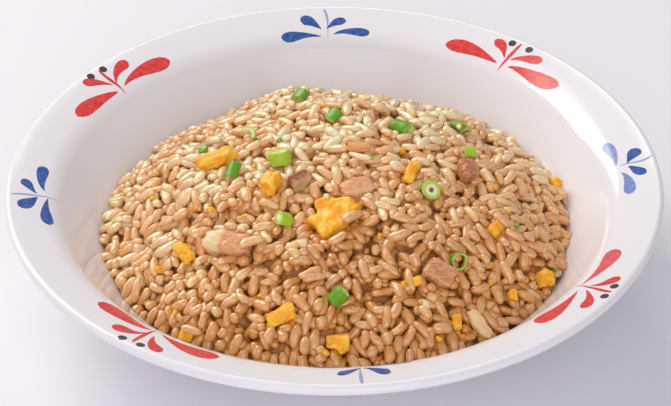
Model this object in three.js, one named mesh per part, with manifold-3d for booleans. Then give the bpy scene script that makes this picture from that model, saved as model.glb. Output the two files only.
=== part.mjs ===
// A plate of fried rice: a round rimmed porcelain plate, a heap of rice that fills its well, and the
// bits of egg, spring onion, pork and onion that lie in the top of the heap.
// Millimetres, +Z up. The origin is the middle of the foot, on the table. +Y points to the back.
import * as THREE from "three";
import { mergeVertices } from "three/addons/utils/BufferGeometryUtils.js";
import Module from "manifold-3d";

const wasm = await Module();
wasm.setup();

// Plate, by radius and height
const PLATE_RADIUS = 115;
const LIP_HEIGHT = 45.8; // middle of the rounded lip
const LIP_THICKNESS = 3.8;
const RIM_DROP = 17; // degrees that the rim falls towards the well
const SHOULDER_RADIUS = 96.5;
const FLOOR_RADIUS = 56;
const FLOOR_HEIGHT = 9;
const WALL_FOOT = { radius: 77, height: 18.6 };
const WALL_SLOPE = 49.5; // degrees
const SHOULDER_ROUND = 3.5; // how far the shoulder's curve reaches to each side
const WALL_THICKNESS = 4.4;
const FOOT = { outer: 62, inner: 56.5, chamfer: 1, recess: 4.4 };
const PLATE_SEGMENTS = 56;
const BEND_STEPS = 3; // of each curve in the plate's section
const LIP_STEPS = 2;
const UNDERSIDE_MARGIN = 4; // that the underside keeps from the foot and from the lip

// Rice heap, by the dome that its highest grains touch
const HEAP_CENTRE = { x: 1.5, y: 2 };
const HEAP_RADIUS = 84;
const HEAP_EDGE_HEIGHT = 26.3;
const HEAP_RISE = 34.5;
const HEAP_FULLNESS = 1.2; // 1 is a parabola, more is flatter on top with steeper sides
const HEAP_BEYOND = 1.3; // slope past the edge, under the plate's wall
// Broad lumps of the heap: height, length between crests, heading in degrees, shift in degrees
const HEAP_WAVES = [
  { height: 0.8, length: 47, heading: 20, shift: 40 },
  { height: 0.7, length: 36, heading: 110, shift: 200 },
  { height: 0.5, length: 26, heading: 65, shift: 90 },
];
// Where the heap lies lower than its dome: how deep, where, and how far it reaches
const HEAP_DIPS = [
  { depth: 6.5, x: -46, y: 48, reach: 21 },
  { depth: 6.7, x: 34, y: 84, reach: 29 },
];
const HEAP_SEGMENTS = 40; // round the part of the heap that lies in the well
const HEAP_SEED = 11;
const SLOPE_STEP = 0.5; // over which the dome's slope is measured, to each side

// One bump of the heap is one grain: a ridge in a six-sided cell
const CELL_PITCH = 6.8;
const CELL_JITTER = 0.9;
const RIDGE_HALF = 2.5;
const VALLEY_DEPTH = { least: 1.6, spread: 1.6 };
const RIDGE_DEPTH = { least: -0.5, spread: 1.2 };

const GAP = 0.3; // between a piece and what it lies in
const SMALL_LUMP = 7.5; // lumps up to this length have only twenty faces
const TUBE_SIDES = 8;
const STRIP_STEPS = 5; // round the arc of a split tube
const STRIP_SINK = 0.6; // share of a split tube's radius that its axis lies under the dome

const radians = THREE.MathUtils.degToRad;

// A repeatable row of numbers from 0 to 1.
function seededRandom(seed) {
  let state = seed;
  return () => {
    state = (state + 0x6d2b79f5) | 0;
    let mixed = Math.imul(state ^ (state >>> 15), 1 | state);
    mixed = (mixed + Math.imul(mixed ^ (mixed >>> 7), 61 | mixed)) ^ mixed;
    return ((mixed ^ (mixed >>> 14)) >>> 0) / 4294967296;
  };
}

// The geometry with one vertex at each corner, so that faces share them.
function shared(geometry) {
  const bare = geometry.clone();
  bare.deleteAttribute("normal");
  bare.deleteAttribute("uv");
  return mergeVertices(bare, 1e-3);
}

function solidOf(geometry) {
  const merged = shared(geometry);
  return new wasm.Manifold(
    new wasm.Mesh({
      numProp: 3,
      vertProperties: merged.attributes.position.array,
      triVerts: new Uint32Array(merged.index.array),
    }),
  );
}

function geometryOf(solid) {
  const mesh = solid.getMesh();
  const geometry = new THREE.BufferGeometry();
  geometry.setAttribute("position", new THREE.BufferAttribute(mesh.vertProperties, 3));
  geometry.setIndex(new THREE.BufferAttribute(mesh.triVerts, 1));
  geometry.computeVertexNormals();
  return geometry;
}

// A profile of radius and height turned round the Z axis.
function turned(profile, segments) {
  return new THREE.LatheGeometry(profile, segments).rotateX(Math.PI / 2);
}

// The profile moved sideways by a distance, to the left of its own direction when positive.
function offsetProfile(points, distance) {
  return points.map((point, i) => {
    const before = points[Math.max(i - 1, 0)];
    const after = points[Math.min(i + 1, points.length - 1)];
    const along = after.clone().sub(before).normalize();
    return new THREE.Vector2(point.x - along.y * distance, point.y + along.x * distance);
  });
}

// The plate's upper surface from the middle of the floor to the start of the lip.
function upperProfile() {
  const drop = Math.tan(radians(RIM_DROP));
  const wall = new THREE.Vector2(Math.cos(radians(WALL_SLOPE)), Math.sin(radians(WALL_SLOPE)));
  const lipTop = LIP_HEIGHT + (LIP_THICKNESS / 2) * Math.cos(radians(RIM_DROP));
  const lipStart = PLATE_RADIUS - LIP_THICKNESS / 2 - (LIP_THICKNESS / 2) * Math.sin(radians(RIM_DROP));
  const wallAt = (radius) => WALL_FOOT.height + ((radius - WALL_FOOT.radius) * wall.y) / wall.x;
  const wallEnd = SHOULDER_RADIUS - SHOULDER_ROUND;
  const rimStart = SHOULDER_RADIUS + SHOULDER_ROUND;
  const rimAt = (radius) => lipTop - (lipStart - radius) * drop;
  // where the straight wall and the straight rim would meet
  const meet = (rimAt(0) - wallAt(0)) / (wall.y / wall.x - drop);
  const path = new THREE.Path();
  path.moveTo(0, FLOOR_HEIGHT);
  path.lineTo(FLOOR_RADIUS, FLOOR_HEIGHT);
  const bend = (WALL_FOOT.height - FLOOR_HEIGHT) * (wall.x / wall.y);
  path.quadraticCurveTo(WALL_FOOT.radius - bend, FLOOR_HEIGHT, WALL_FOOT.radius, WALL_FOOT.height);
  path.lineTo(wallEnd, wallAt(wallEnd));
  path.quadraticCurveTo(meet, rimAt(meet), rimStart, rimAt(rimStart));
  path.lineTo(lipStart, lipTop);
  return path.getPoints(BEND_STEPS);
}

function plateGeometry() {
  const upper = upperProfile();
  // the lip's half circle, from the rim's top round to its underside
  const lip = new THREE.Path();
  lip.absarc(
    PLATE_RADIUS - LIP_THICKNESS / 2,
    LIP_HEIGHT,
    LIP_THICKNESS / 2,
    radians(90 + RIM_DROP),
    radians(RIM_DROP - 90),
    true,
  );
  const lipPoints = lip.getPoints(LIP_STEPS).slice(1);
  const [nearest, farthest] = [FOOT.outer + UNDERSIDE_MARGIN, PLATE_RADIUS - UNDERSIDE_MARGIN];
  const under = offsetProfile(upper, -WALL_THICKNESS)
    .filter((point) => point.x > nearest && point.x < farthest)
    .reverse();
  const foot = [
    new THREE.Vector2(FOOT.outer + FOOT.chamfer, FOOT.recess),
    new THREE.Vector2(FOOT.outer, FOOT.chamfer),
    new THREE.Vector2(FOOT.outer - FOOT.chamfer, 0),
    new THREE.Vector2(FOOT.inner + FOOT.chamfer, 0),
    new THREE.Vector2(FOOT.inner, FOOT.chamfer),
    new THREE.Vector2(FOOT.inner - FOOT.chamfer, FOOT.recess),
    new THREE.Vector2(0, FOOT.recess),
  ];
  const profile = [...upper, ...lipPoints, ...under, ...foot].reverse();
  return turned(profile, PLATE_SEGMENTS);
}

// Height of the dome that the highest grains touch.
function domeHeight(x, y) {
  const fromCentre = Math.hypot(x - HEAP_CENTRE.x, y - HEAP_CENTRE.y);
  const share = fromCentre / HEAP_RADIUS;
  let height = HEAP_EDGE_HEIGHT;
  if (share < 1) height += HEAP_RISE * (1 - share ** 2) ** (1 / HEAP_FULLNESS);
  else height -= HEAP_BEYOND * (fromCentre - HEAP_RADIUS);
  for (const wave of HEAP_WAVES) {
    const along = x * Math.cos(radians(wave.heading)) + y * Math.sin(radians(wave.heading));
    height += wave.height * Math.sin((2 * Math.PI * along) / wave.length + radians(wave.shift));
  }
  for (const dip of HEAP_DIPS) {
    const away = Math.hypot(x - dip.x, y - dip.y) / dip.reach;
    height -= dip.depth * Math.exp(-(away ** 2) / 2);
  }
  return height;
}

// The bumpy top of the heap as a closed block that reaches below the plate.
function bumpyBlock() {
  const random = seededRandom(HEAP_SEED);
  const vertices = [];
  const faces = [];
  const corners = new Map();
  const reach = HEAP_RADIUS + 1.2 * CELL_PITCH;
  const addVertex = (x, y, z) => vertices.push(x, y, z) / 3 - 1;
  const jitter = () => (random() - 0.5) * CELL_JITTER * 2;

  // a valley vertex, shared by the three cells round it; corners lie on half steps of the cells
  const side = CELL_PITCH / Math.sqrt(3);
  const cornerAt = (x, y) => {
    const halfColumn = Math.round((x - HEAP_CENTRE.x) / (CELL_PITCH / 2));
    const halfRow = Math.round((y - HEAP_CENTRE.y) / (side / 2));
    const key = halfColumn + "," + halfRow;
    if (!corners.has(key)) {
      const [px, py] = [x + jitter(), y + jitter()];
      const depth = VALLEY_DEPTH.least + VALLEY_DEPTH.spread * random();
      corners.set(key, addVertex(px, py, domeHeight(px, py) - depth));
    }
    return corners.get(key);
  };

  const rows = Math.ceil(reach / (CELL_PITCH * Math.sin(Math.PI / 3)));
  for (let row = -rows; row <= rows; row++) {
    for (let column = -2 * rows; column <= 2 * rows; column++) {
      const x = HEAP_CENTRE.x + CELL_PITCH * (column + (row % 2 ? 0.5 : 0));
      const y = HEAP_CENTRE.y + CELL_PITCH * Math.sin(Math.PI / 3) * row;
      if (Math.hypot(x - HEAP_CENTRE.x, y - HEAP_CENTRE.y) > reach) continue;
      const ring = [0, 1, 2, 3, 4, 5].map((i) => {
        const angle = radians(30 + 60 * i);
        return cornerAt(x + side * Math.cos(angle), y + side * Math.sin(angle));
      });
      const turn = random() * 2 * Math.PI;
      const ridge = [1, -1].map((end) => {
        const rx = x + end * RIDGE_HALF * Math.cos(turn);
        const ry = y + end * RIDGE_HALF * Math.sin(turn);
        const depth = RIDGE_DEPTH.least + RIDGE_DEPTH.spread * random();
        return addVertex(rx, ry, domeHeight(rx, ry) - depth);
      });
      // the three corners nearest to each end of the ridge fan out from that end
      const nearest = Math.round((turn - radians(30)) / radians(60));
      const corner = (i) => ring[(((nearest + i) % 6) + 6) % 6];
      for (const [end, first] of [[0, -1], [1, 2]]) {
        const [here, there] = [ridge[end], ridge[1 - end]];
        faces.push(here, corner(first), corner(first + 1));
        faces.push(here, corner(first + 1), corner(first + 2));
        faces.push(here, corner(first + 2), corner(first + 3));
        faces.push(here, corner(first + 3), there);
      }
    }
  }
  closeBelow(vertices, faces, -CELL_PITCH);
  const geometry = new THREE.BufferGeometry();
  geometry.setAttribute("position", new THREE.Float32BufferAttribute(vertices, 3));
  geometry.setIndex(faces);
  return geometry;
}

// Closes a sheet of faces with a wall down from its edge and a flat fan at the given height.
function closeBelow(vertices, faces, height) {
  const edges = new Map();
  for (let i = 0; i < faces.length; i += 3) {
    for (let k = 0; k < 3; k++) {
      const [a, b] = [faces[i + k], faces[i + ((k + 1) % 3)]];
      const back = b + "," + a;
      if (edges.has(back)) edges.delete(back);
      else edges.set(a + "," + b, [a, b]);
    }
  }
  const below = new Map();
  const lowered = (vertex) => {
    if (!below.has(vertex)) {
      const count = vertices.push(vertices[3 * vertex], vertices[3 * vertex + 1], height);
      below.set(vertex, count / 3 - 1);
    }
    return below.get(vertex);
  };
  const middle = vertices.push(HEAP_CENTRE.x, HEAP_CENTRE.y, height) / 3 - 1;
  for (const [a, b] of edges.values()) {
    const [c, d] = [lowered(a), lowered(b)];
    faces.push(b, a, c, b, c, d, d, c, middle);
  }
}

// The space in the well that the heap may fill, a gap clear of the plate.
function wellGeometry() {
  const open = HEAP_EDGE_HEIGHT + 2 * HEAP_RISE;
  // a ring with fewer sides than the plate's lies inside it when its corners do
  const skirt = offsetProfile(upperProfile(), GAP).filter((point) => point.x < SHOULDER_RADIUS);
  const shrink = Math.cos(Math.PI / PLATE_SEGMENTS);
  const inside = skirt.map((point) => new THREE.Vector2(Math.max(point.x, 0) * shrink, point.y));
  const last = inside[inside.length - 1];
  const profile = [...inside, new THREE.Vector2(last.x, open), new THREE.Vector2(0, open)];
  profile[0].x = 0;
  return turned(profile, HEAP_SEGMENTS);
}

// An uneven lump: a ball pulled to the given size, with flatter faces as it gets blockier.
function lump({ size, block = 0.3, uneven = 0.16, seed = 1 }, grow) {
  const random = seededRandom(seed);
  const detail = Math.max(...size) > SMALL_LUMP ? 1 : 0;
  const geometry = shared(new THREE.IcosahedronGeometry(1, detail));
  const position = geometry.attributes.position;
  const point = new THREE.Vector3();
  for (let i = 0; i < position.count; i++) {
    point.fromBufferAttribute(position, i).normalize();
    const widest = Math.max(Math.abs(point.x), Math.abs(point.y), Math.abs(point.z));
    point.multiplyScalar((1 - block + block / widest) * (1 - uneven * random()));
    const half = size.map((length) => length / 2 + grow);
    position.setXYZ(i, point.x * half[0], point.y * half[1], point.z * half[2]);
  }
  return geometry;
}

// A slab with an outline of its own, in a table of corners, and rounded edges.
function slab({ outline, thickness }, grow) {
  const shape = new THREE.Shape(outline.map(([x, y]) => new THREE.Vector2(x, y)));
  const round = thickness / 4;
  const geometry = new THREE.ExtrudeGeometry(shape, {
    depth: thickness + 2 * grow - 2 * round,
    bevelSize: round + grow,
    bevelThickness: round,
    bevelSegments: 1,
    bevelOffset: -round,
  });
  return geometry.translate(0, 0, round - thickness / 2 - grow);
}

// A short cut of a hollow leaf or stalk along the X axis, pressed flat by a share.
function tube({ diameter, length, wall, press = 1 }, grow) {
  const outer = diameter / 2 + grow;
  const inner = diameter / 2 - wall;
  const half = length / 2 + grow;
  const ends = (radius) => [new THREE.Vector2(radius, -half), new THREE.Vector2(radius, half)];
  const [low, high] = ends(outer);
  const hole = ends(inner).reverse();
  const solid = [new THREE.Vector2(0, -half), low, high, new THREE.Vector2(0, half)];
  const profile = grow > 0 ? solid : [low, high, ...hole, low.clone()];
  return new THREE.LatheGeometry(profile, TUBE_SIDES).rotateZ(-Math.PI / 2).scale(1, 1, press);
}

// A piece split off such a tube along the X axis: its arc opens downwards.
function strip({ radius, span, length, wall }, grow) {
  const more = Math.asin(Math.min(grow / radius, 1));
  const [start, end] = [radians(90 - span / 2) - more, radians(90 + span / 2) + more];
  const shape = new THREE.Shape();
  shape.absarc(0, 0, radius + grow, start, end, false);
  shape.absarc(0, 0, radius - wall - grow, end, start, true);
  const geometry = new THREE.ExtrudeGeometry(shape, {
    depth: length + 2 * grow,
    bevelEnabled: false,
    curveSegments: STRIP_STEPS,
  });
  return geometry
    .translate(0, -radius * STRIP_SINK, -length / 2 - grow)
    .rotateX(Math.PI / 2)
    .rotateZ(Math.PI / 2);
}

const GLAZE = { color: 0xf1eff0, roughness: 0.12, metalness: 0 };
const RICE = { color: 0xd9a877, roughness: 0.4, metalness: 0 };
const EGG = { color: 0xf2a92e, roughness: 0.42, metalness: 0 };
const LEAF = { color: 0x4c8f2a, roughness: 0.38, metalness: 0 };
const STALK = { color: 0xb5d24a, roughness: 0.38, metalness: 0 };
const PORK = { color: 0xb9745a, roughness: 0.45, metalness: 0 };
const ONION = { color: 0xdcb98a, roughness: 0.35, metalness: 0 };
const CRUST = { color: 0xd08a45, roughness: 0.45, metalness: 0 };

// The bits in the heap. x and y are seen from above. heading is the way the piece's length points, from
// +X towards +Y, pitch lifts that end out of the surface, roll turns it about its length, and lift raises
// its middle above the dome.
const TOPPINGS = [
  {
    name: "egg_sheet", shape: slab, finish: EGG,
    x: 0.1, y: -32.8, heading: 0, pitch: 6, lift: -0.4,
    thickness: 4.6,
    outline: [
      [-9.4, -1.4], [-8.5, 0], [-5.1, 1.7], [-7, 6.1], [-4.2, 8.2], [1.5, 7.8], [6.4, 5.9],
      [9.3, 4], [7.6, 0.9], [3, -4.6], [-1.6, -7.6], [-3.8, -8.7], [-5.5, -6.1], [-6.2, -3.7],
    ],
  },
  {
    name: "egg_flap", shape: slab, finish: EGG,
    x: 1.2, y: -73.9, heading: 0, pitch: 4,
    thickness: 3.6,
    outline: [[-3.8, 2.6], [-3.4, -2], [-0.4, -2], [1, -4.4], [4, -2.6], [3.8, 3.4]],
  },
  {
    name: "egg_01", shape: lump, finish: EGG,
    x: -41.1, y: 3.7, heading: 18,
    size: [17, 8, 6], block: 0.6, seed: 1,
  },
  {
    name: "egg_02", shape: lump, finish: EGG,
    x: -21.3, y: -19.2, heading: 60, lift: 1.4,
    size: [10, 8.4, 7.6], seed: 2,
  },
  {
    name: "egg_03", shape: lump, finish: EGG,
    x: 26.3, y: -12.8, heading: 74, pitch: 12, lift: 0.8,
    size: [10.4, 5.6, 5.6], seed: 3,
  },
  {
    name: "egg_04", shape: lump, finish: EGG,
    x: -51.1, y: -36.7, heading: -67,
    size: [12.6, 6, 5.6], seed: 4, uneven: 0.3,
  },
  {
    name: "egg_05", shape: lump, finish: EGG,
    x: -17.4, y: -66.3, heading: 24, pitch: 20,
    size: [13, 7.4, 4.6], seed: 5, block: 0.6,
  },
  {
    name: "egg_06", shape: lump, finish: EGG,
    x: 55, y: -27.8, heading: 60, lift: -0.6,
    size: [7, 6, 5], seed: 6,
  },
  {
    name: "egg_07", shape: lump, finish: EGG,
    x: 72.2, y: -36.7, heading: -60,
    size: [8.6, 7.4, 6.6], seed: 7, uneven: 0.3,
  },
  {
    name: "egg_08", shape: lump, finish: EGG,
    x: 41, y: -63.8, heading: -75,
    size: [7, 4.4, 4], seed: 8,
  },
  {
    name: "egg_09", shape: lump, finish: EGG,
    x: 79.2, y: 17.5, heading: -20, lift: 0.8,
    size: [5.4, 5, 4.6], seed: 9,
  },
  {
    name: "egg_10", shape: lump, finish: EGG,
    x: -49, y: -63.6, heading: -30,
    size: [7.4, 6.4, 4.4], seed: 10,
  },
  {
    name: "egg_11", shape: lump, finish: EGG,
    x: 60.5, y: -47.8, heading: -80,
    size: [5.6, 4.4, 4], seed: 11,
  },
  {
    name: "onion_01", shape: lump, finish: ONION,
    x: 48.5, y: -61.5, heading: -44, lift: 0.4,
    size: [12.4, 5, 3.6], seed: 21, block: 0.5,
  },
  {
    name: "crust_01", shape: lump, finish: CRUST,
    x: 8.7, y: -2.8, heading: 3, lift: 0.2,
    size: [9, 3.6, 3.8], seed: 22, block: 0.5,
  },
  {
    name: "pork_01", shape: lump, finish: PORK,
    x: -11.9, y: -18.2, heading: 38,
    size: [9, 5, 6.4], seed: 31, block: 0.8, uneven: 0.08,
  },
  {
    name: "pork_02", shape: lump, finish: PORK,
    x: 7.9, y: -21.1, heading: 20,
    size: [13, 8.4, 5.6], seed: 32, block: 0.5,
  },
  {
    name: "pork_03", shape: lump, finish: PORK,
    x: 46.3, y: -3, heading: -75, lift: 0.6,
    size: [10, 7, 6.4], seed: 33, block: 0.3, uneven: 0.1,
  },
  {
    name: "pork_04", shape: lump, finish: PORK,
    x: -35.9, y: -39.7, heading: -22, lift: 0.6,
    size: [19, 9.4, 8], seed: 34, block: 0.8, uneven: 0.1,
  },
  {
    name: "pork_05", shape: lump, finish: PORK,
    x: 35.5, y: -50.6, heading: -28, lift: 0.4,
    size: [12, 9, 6.6], seed: 35, block: 0.9, uneven: 0.06,
  },
  {
    name: "stalk_01", shape: tube, finish: STALK,
    x: -18.4, y: -3.5, heading: 95, pitch: 66, lift: 1.2,
    diameter: 7.5, length: 4.6, wall: 2.6,
  },
  {
    name: "stalk_02", shape: tube, finish: STALK,
    x: 32.8, y: -17.8, heading: -88, pitch: 45, lift: 0.9,
    diameter: 6.6, length: 3, wall: 2.4,
  },
  {
    name: "stalk_03", shape: strip, finish: STALK,
    x: -29.2, y: 15.5, heading: -85, pitch: 40, roll: -50, lift: 1,
    radius: 3, span: 170, length: 3.4, wall: 1.3,
  },
  {
    name: "stalk_04", shape: tube, finish: STALK,
    x: -16.8, y: -32.9, heading: 196, pitch: 46, lift: 0.8,
    diameter: 5.4, length: 5, wall: 1.2, press: 0.7,
  },
  {
    name: "leaf_02", shape: strip, finish: LEAF,
    x: -35.3, y: -6.7, heading: 73, pitch: 20, lift: 0.7,
    radius: 2.5, span: 170, length: 6.4, wall: 0.8,
  },
  {
    name: "leaf_03", shape: tube, finish: LEAF,
    x: -11.9, y: 42, heading: 50, pitch: 30, lift: 2.4,
    diameter: 7, length: 4.2, wall: 0.8, press: 0.6,
  },
  {
    name: "leaf_04", shape: tube, finish: LEAF,
    x: -0.2, y: 19.5, heading: 48, pitch: 18, lift: 0.8,
    diameter: 5, length: 4.6, wall: 0.8, press: 0.5,
  },
  {
    name: "leaf_05", shape: tube, finish: LEAF,
    x: 23.8, y: 16.7, heading: -38, pitch: 8, lift: 0.9,
    diameter: 6.2, length: 6, wall: 0.8, press: 0.8,
  },
  {
    name: "leaf_06", shape: tube, finish: LEAF,
    x: 44.5, y: 28.3, heading: -78, pitch: 26, lift: 0.8,
    diameter: 5.4, length: 6, wall: 0.8, press: 0.6,
  },
  {
    name: "leaf_07", shape: strip, finish: STALK,
    x: 47.1, y: 7.1, heading: 22, lift: 0.6,
    radius: 2.6, span: 150, length: 4.4, wall: 0.9,
  },
  {
    name: "leaf_08", shape: tube, finish: LEAF,
    x: 1.5, y: -61.7, heading: 46, pitch: 24, lift: 1.2,
    diameter: 5.6, length: 5.2, wall: 0.7,
  },
  {
    name: "leaf_09", shape: tube, finish: LEAF,
    x: 41.8, y: -44.6, heading: -84, pitch: 58, lift: 0.4,
    diameter: 6.2, length: 2.4, wall: 0.7,
  },
];

// Turns a piece from its own frame into the frame of the surface under it.
function settle(mesh, { x, y, heading, pitch = 0, roll = 0, lift = 0 }) {
  const normal = new THREE.Vector3(
    domeHeight(x - SLOPE_STEP, y) - domeHeight(x + SLOPE_STEP, y),
    domeHeight(x, y - SLOPE_STEP) - domeHeight(x, y + SLOPE_STEP),
    2 * SLOPE_STEP,
  ).normalize();
  const along = new THREE.Vector3(Math.cos(radians(heading)), Math.sin(radians(heading)), 0);
  along.addScaledVector(normal, -along.dot(normal)).normalize();
  const across = normal.clone().cross(along);
  mesh.quaternion.setFromRotationMatrix(new THREE.Matrix4().makeBasis(along, across, normal));
  mesh.rotateY(radians(-pitch));
  mesh.rotateX(radians(roll));
  mesh.position.set(x, y, domeHeight(x, y)).addScaledVector(normal, lift);
}

function named(name, geometry, finish) {
  const mesh = new THREE.Mesh(geometry, new THREE.MeshStandardMaterial(finish));
  mesh.name = name;
  return mesh;
}

// The heap fills the well up to its bumpy top, with a pocket round every bit that lies in it.
function heapGeometry(toppings) {
  let heap = solidOf(bumpyBlock()).intersect(solidOf(wellGeometry()));
  for (const { mesh, pocket } of toppings) {
    mesh.updateMatrix();
    heap = heap.subtract(solidOf(shared(pocket).applyMatrix4(mesh.matrix)));
  }
  const bodies = heap.decompose().sort((a, b) => b.volume() - a.volume());
  return geometryOf(bodies[0]);
}

function buildToppings() {
  return TOPPINGS.map(({ name, shape, finish, ...rest }) => {
    const mesh = named(name, shape(rest, 0), finish);
    settle(mesh, rest);
    return { mesh, pocket: shape(rest, GAP) };
  });
}

const plateOfRice = new THREE.Group();
const toppings = buildToppings();
plateOfRice.add(named("plate", plateGeometry(), GLAZE));
plateOfRice.add(named("rice_heap", heapGeometry(toppings), RICE));
for (const { mesh } of toppings) plateOfRice.add(mesh);

export default plateOfRice;
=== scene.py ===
"""The looks of a fried rice plate: a painted porcelain plate and a heap of real grains in its well."""

import logging
import math
from dataclasses import dataclass, field
from enum import Enum
from typing import Iterable, Sequence, Union

import bpy
import numpy as np
from mathutils import Euler, Matrix, Vector, noise
from mathutils.bvhtree import BVHTree


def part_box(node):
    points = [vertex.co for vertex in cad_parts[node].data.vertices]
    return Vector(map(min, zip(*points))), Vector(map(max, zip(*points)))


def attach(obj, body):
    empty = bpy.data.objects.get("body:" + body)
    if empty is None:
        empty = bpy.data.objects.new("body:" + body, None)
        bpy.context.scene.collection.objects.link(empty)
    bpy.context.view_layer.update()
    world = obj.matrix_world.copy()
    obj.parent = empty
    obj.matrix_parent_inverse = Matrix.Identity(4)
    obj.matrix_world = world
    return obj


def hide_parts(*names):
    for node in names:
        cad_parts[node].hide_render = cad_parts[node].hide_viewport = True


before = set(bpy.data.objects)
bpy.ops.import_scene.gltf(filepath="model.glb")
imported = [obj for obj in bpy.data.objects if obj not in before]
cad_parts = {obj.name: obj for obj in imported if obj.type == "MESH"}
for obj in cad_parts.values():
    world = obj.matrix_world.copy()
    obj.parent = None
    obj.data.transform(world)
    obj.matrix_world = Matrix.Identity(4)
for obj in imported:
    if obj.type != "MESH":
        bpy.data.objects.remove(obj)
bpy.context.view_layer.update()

log = logging.getLogger("fried_rice")

MM = 0.001
Array = np.ndarray
Colour = tuple[float, float, float, float]


def rgb(code: str) -> Colour:
    """Turns a six-digit screen colour into the shader's linear colour."""
    values = [int(code[i : i + 2], 16) / 255 for i in (0, 2, 4)]
    linear = [v / 12.92 if v <= 0.04045 else ((v + 0.055) / 1.055) ** 2.4 for v in values]
    return (linear[0], linear[1], linear[2], 1.0)


class Bench:
    """The editor moves that pieces are modelled with. Sizes are in millimetres."""

    @staticmethod
    def clear() -> None:
        """Leaves nothing selected, in object mode."""
        if bpy.context.object is not None and bpy.context.object.mode != "OBJECT":
            bpy.ops.object.mode_set(mode="OBJECT")
        bpy.ops.object.select_all(action="DESELECT")

    @classmethod
    def pick(cls, piece: bpy.types.Object) -> bpy.types.Object:
        """Selects one piece and makes it the active one."""
        cls.clear()
        piece.select_set(True)
        bpy.context.view_layer.objects.active = piece
        return piece

    @classmethod
    def edit(cls, piece: bpy.types.Object) -> None:
        """Opens a piece in edit mode with all of it selected."""
        cls.pick(piece)
        bpy.ops.object.mode_set(mode="EDIT")
        bpy.ops.mesh.select_all(action="SELECT")

    @classmethod
    def named(cls, name: str) -> bpy.types.Object:
        """Names the piece that was just added."""
        piece = bpy.context.object
        piece.name = name
        piece.data.name = name
        return piece

    @classmethod
    def modify(cls, piece: bpy.types.Object, kind: str, **settings: object) -> None:
        """Adds a modifier to a piece and applies it."""
        cls.pick(piece)
        modifier = piece.modifiers.new(kind.lower(), kind)
        for key, value in settings.items():
            setattr(modifier, key, value)
        bpy.ops.object.modifier_apply(modifier=modifier.name)

    @classmethod
    def join(cls, pieces: Sequence[bpy.types.Object], name: str) -> bpy.types.Object:
        """Joins pieces into one and names it."""
        cls.pick(pieces[0])
        for piece in pieces:
            piece.select_set(True)
        if len(pieces) > 1:
            bpy.ops.object.join()
        return cls.named(name)

    @classmethod
    def outward(cls, piece: bpy.types.Object) -> None:
        """Turns all faces outwards."""
        cls.edit(piece)
        bpy.ops.mesh.normals_make_consistent(inside=False)
        bpy.ops.object.mode_set(mode="OBJECT")

    @classmethod
    def smooth(cls, piece: bpy.types.Object, degrees: float = 180.0) -> None:
        """Shades a piece smooth, up to an angle between faces."""
        cls.pick(piece)
        if degrees >= 180:
            bpy.ops.object.shade_smooth()
        else:
            bpy.ops.object.shade_smooth_by_angle(angle=math.radians(degrees))

    @staticmethod
    def points(piece: bpy.types.Object) -> Array:
        """Reads a piece's vertices, one row each, in millimetres."""
        flat = np.empty(len(piece.data.vertices) * 3)
        piece.data.vertices.foreach_get("co", flat)
        return flat.reshape(-1, 3) / MM

    @staticmethod
    def move(piece: bpy.types.Object, points: Array) -> None:
        """Writes a piece's vertices, given in millimetres."""
        piece.data.vertices.foreach_set("co", (points * MM).ravel())
        piece.data.update()

    @staticmethod
    def mark(piece: bpy.types.Object, name: str, values: Array) -> None:
        """Stores one number per vertex for the shaders."""
        layer = piece.data.attributes.new(name, "FLOAT", "POINT")
        layer.data.foreach_set("value", np.asarray(values, dtype=np.float32))

    @staticmethod
    def mesh(name: str, points: Array, faces: Iterable[Sequence[int]]) -> bpy.types.Object:
        """Makes a piece from arrays of points, in millimetres, and faces."""
        data = bpy.data.meshes.new(name)
        data.from_pydata((points * MM).tolist(), [], [tuple(f) for f in faces])
        data.update()
        piece = bpy.data.objects.new(name, data)
        bpy.context.scene.collection.objects.link(piece)
        return piece


def finish_piece(
    piece: bpy.types.Object, material: bpy.types.Material, nodes: Sequence[str] = ()
) -> None:
    """Gives a piece its material and ties it to the frame.

    Args:
        piece: The piece, at its place.
        material: What it is made of.
        nodes: The CAD nodes that it stands for.
    """
    piece.data.materials.clear()
    piece.data.materials.append(material)
    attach(piece, "root")
    if nodes:
        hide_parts(*nodes)


Input = Union["Shade", float, int]


class Shade:
    """A number in a shader. Python's operators on it make Math nodes."""

    def __init__(self, recipe: "Recipe", socket: bpy.types.NodeSocket) -> None:
        self.recipe = recipe
        self.socket = socket

    def __add__(self, other: Input) -> "Shade":
        return self.recipe.maths("ADD", self, other)

    def __radd__(self, other: Input) -> "Shade":
        return self.recipe.maths("ADD", other, self)

    def __sub__(self, other: Input) -> "Shade":
        return self.recipe.maths("SUBTRACT", self, other)

    def __rsub__(self, other: Input) -> "Shade":
        return self.recipe.maths("SUBTRACT", other, self)

    def __mul__(self, other: Input) -> "Shade":
        return self.recipe.maths("MULTIPLY", self, other)

    def __rmul__(self, other: Input) -> "Shade":
        return self.recipe.maths("MULTIPLY", other, self)

    def between(self, low: float, high: float) -> "Shade":
        """Rises smoothly from 0 at low to 1 at high."""
        values = {"Value": self, "From Min": low, "From Max": high}
        return self.recipe.node("ShaderNodeMapRange", {"interpolation_type": "SMOOTHSTEP"}, values)


# the shader's sockets that take constants, by the names used here
SOCKETS = {
    "roughness": "Roughness",
    "ior": "IOR",
    "coat": "Coat Weight",
    "coat_roughness": "Coat Roughness",
    "coat_ior": "Coat IOR",
    "subsurface_weight": "Subsurface Weight",
    "subsurface_radius": "Subsurface Radius",
    "subsurface_scale": "Subsurface Scale",
}


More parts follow.
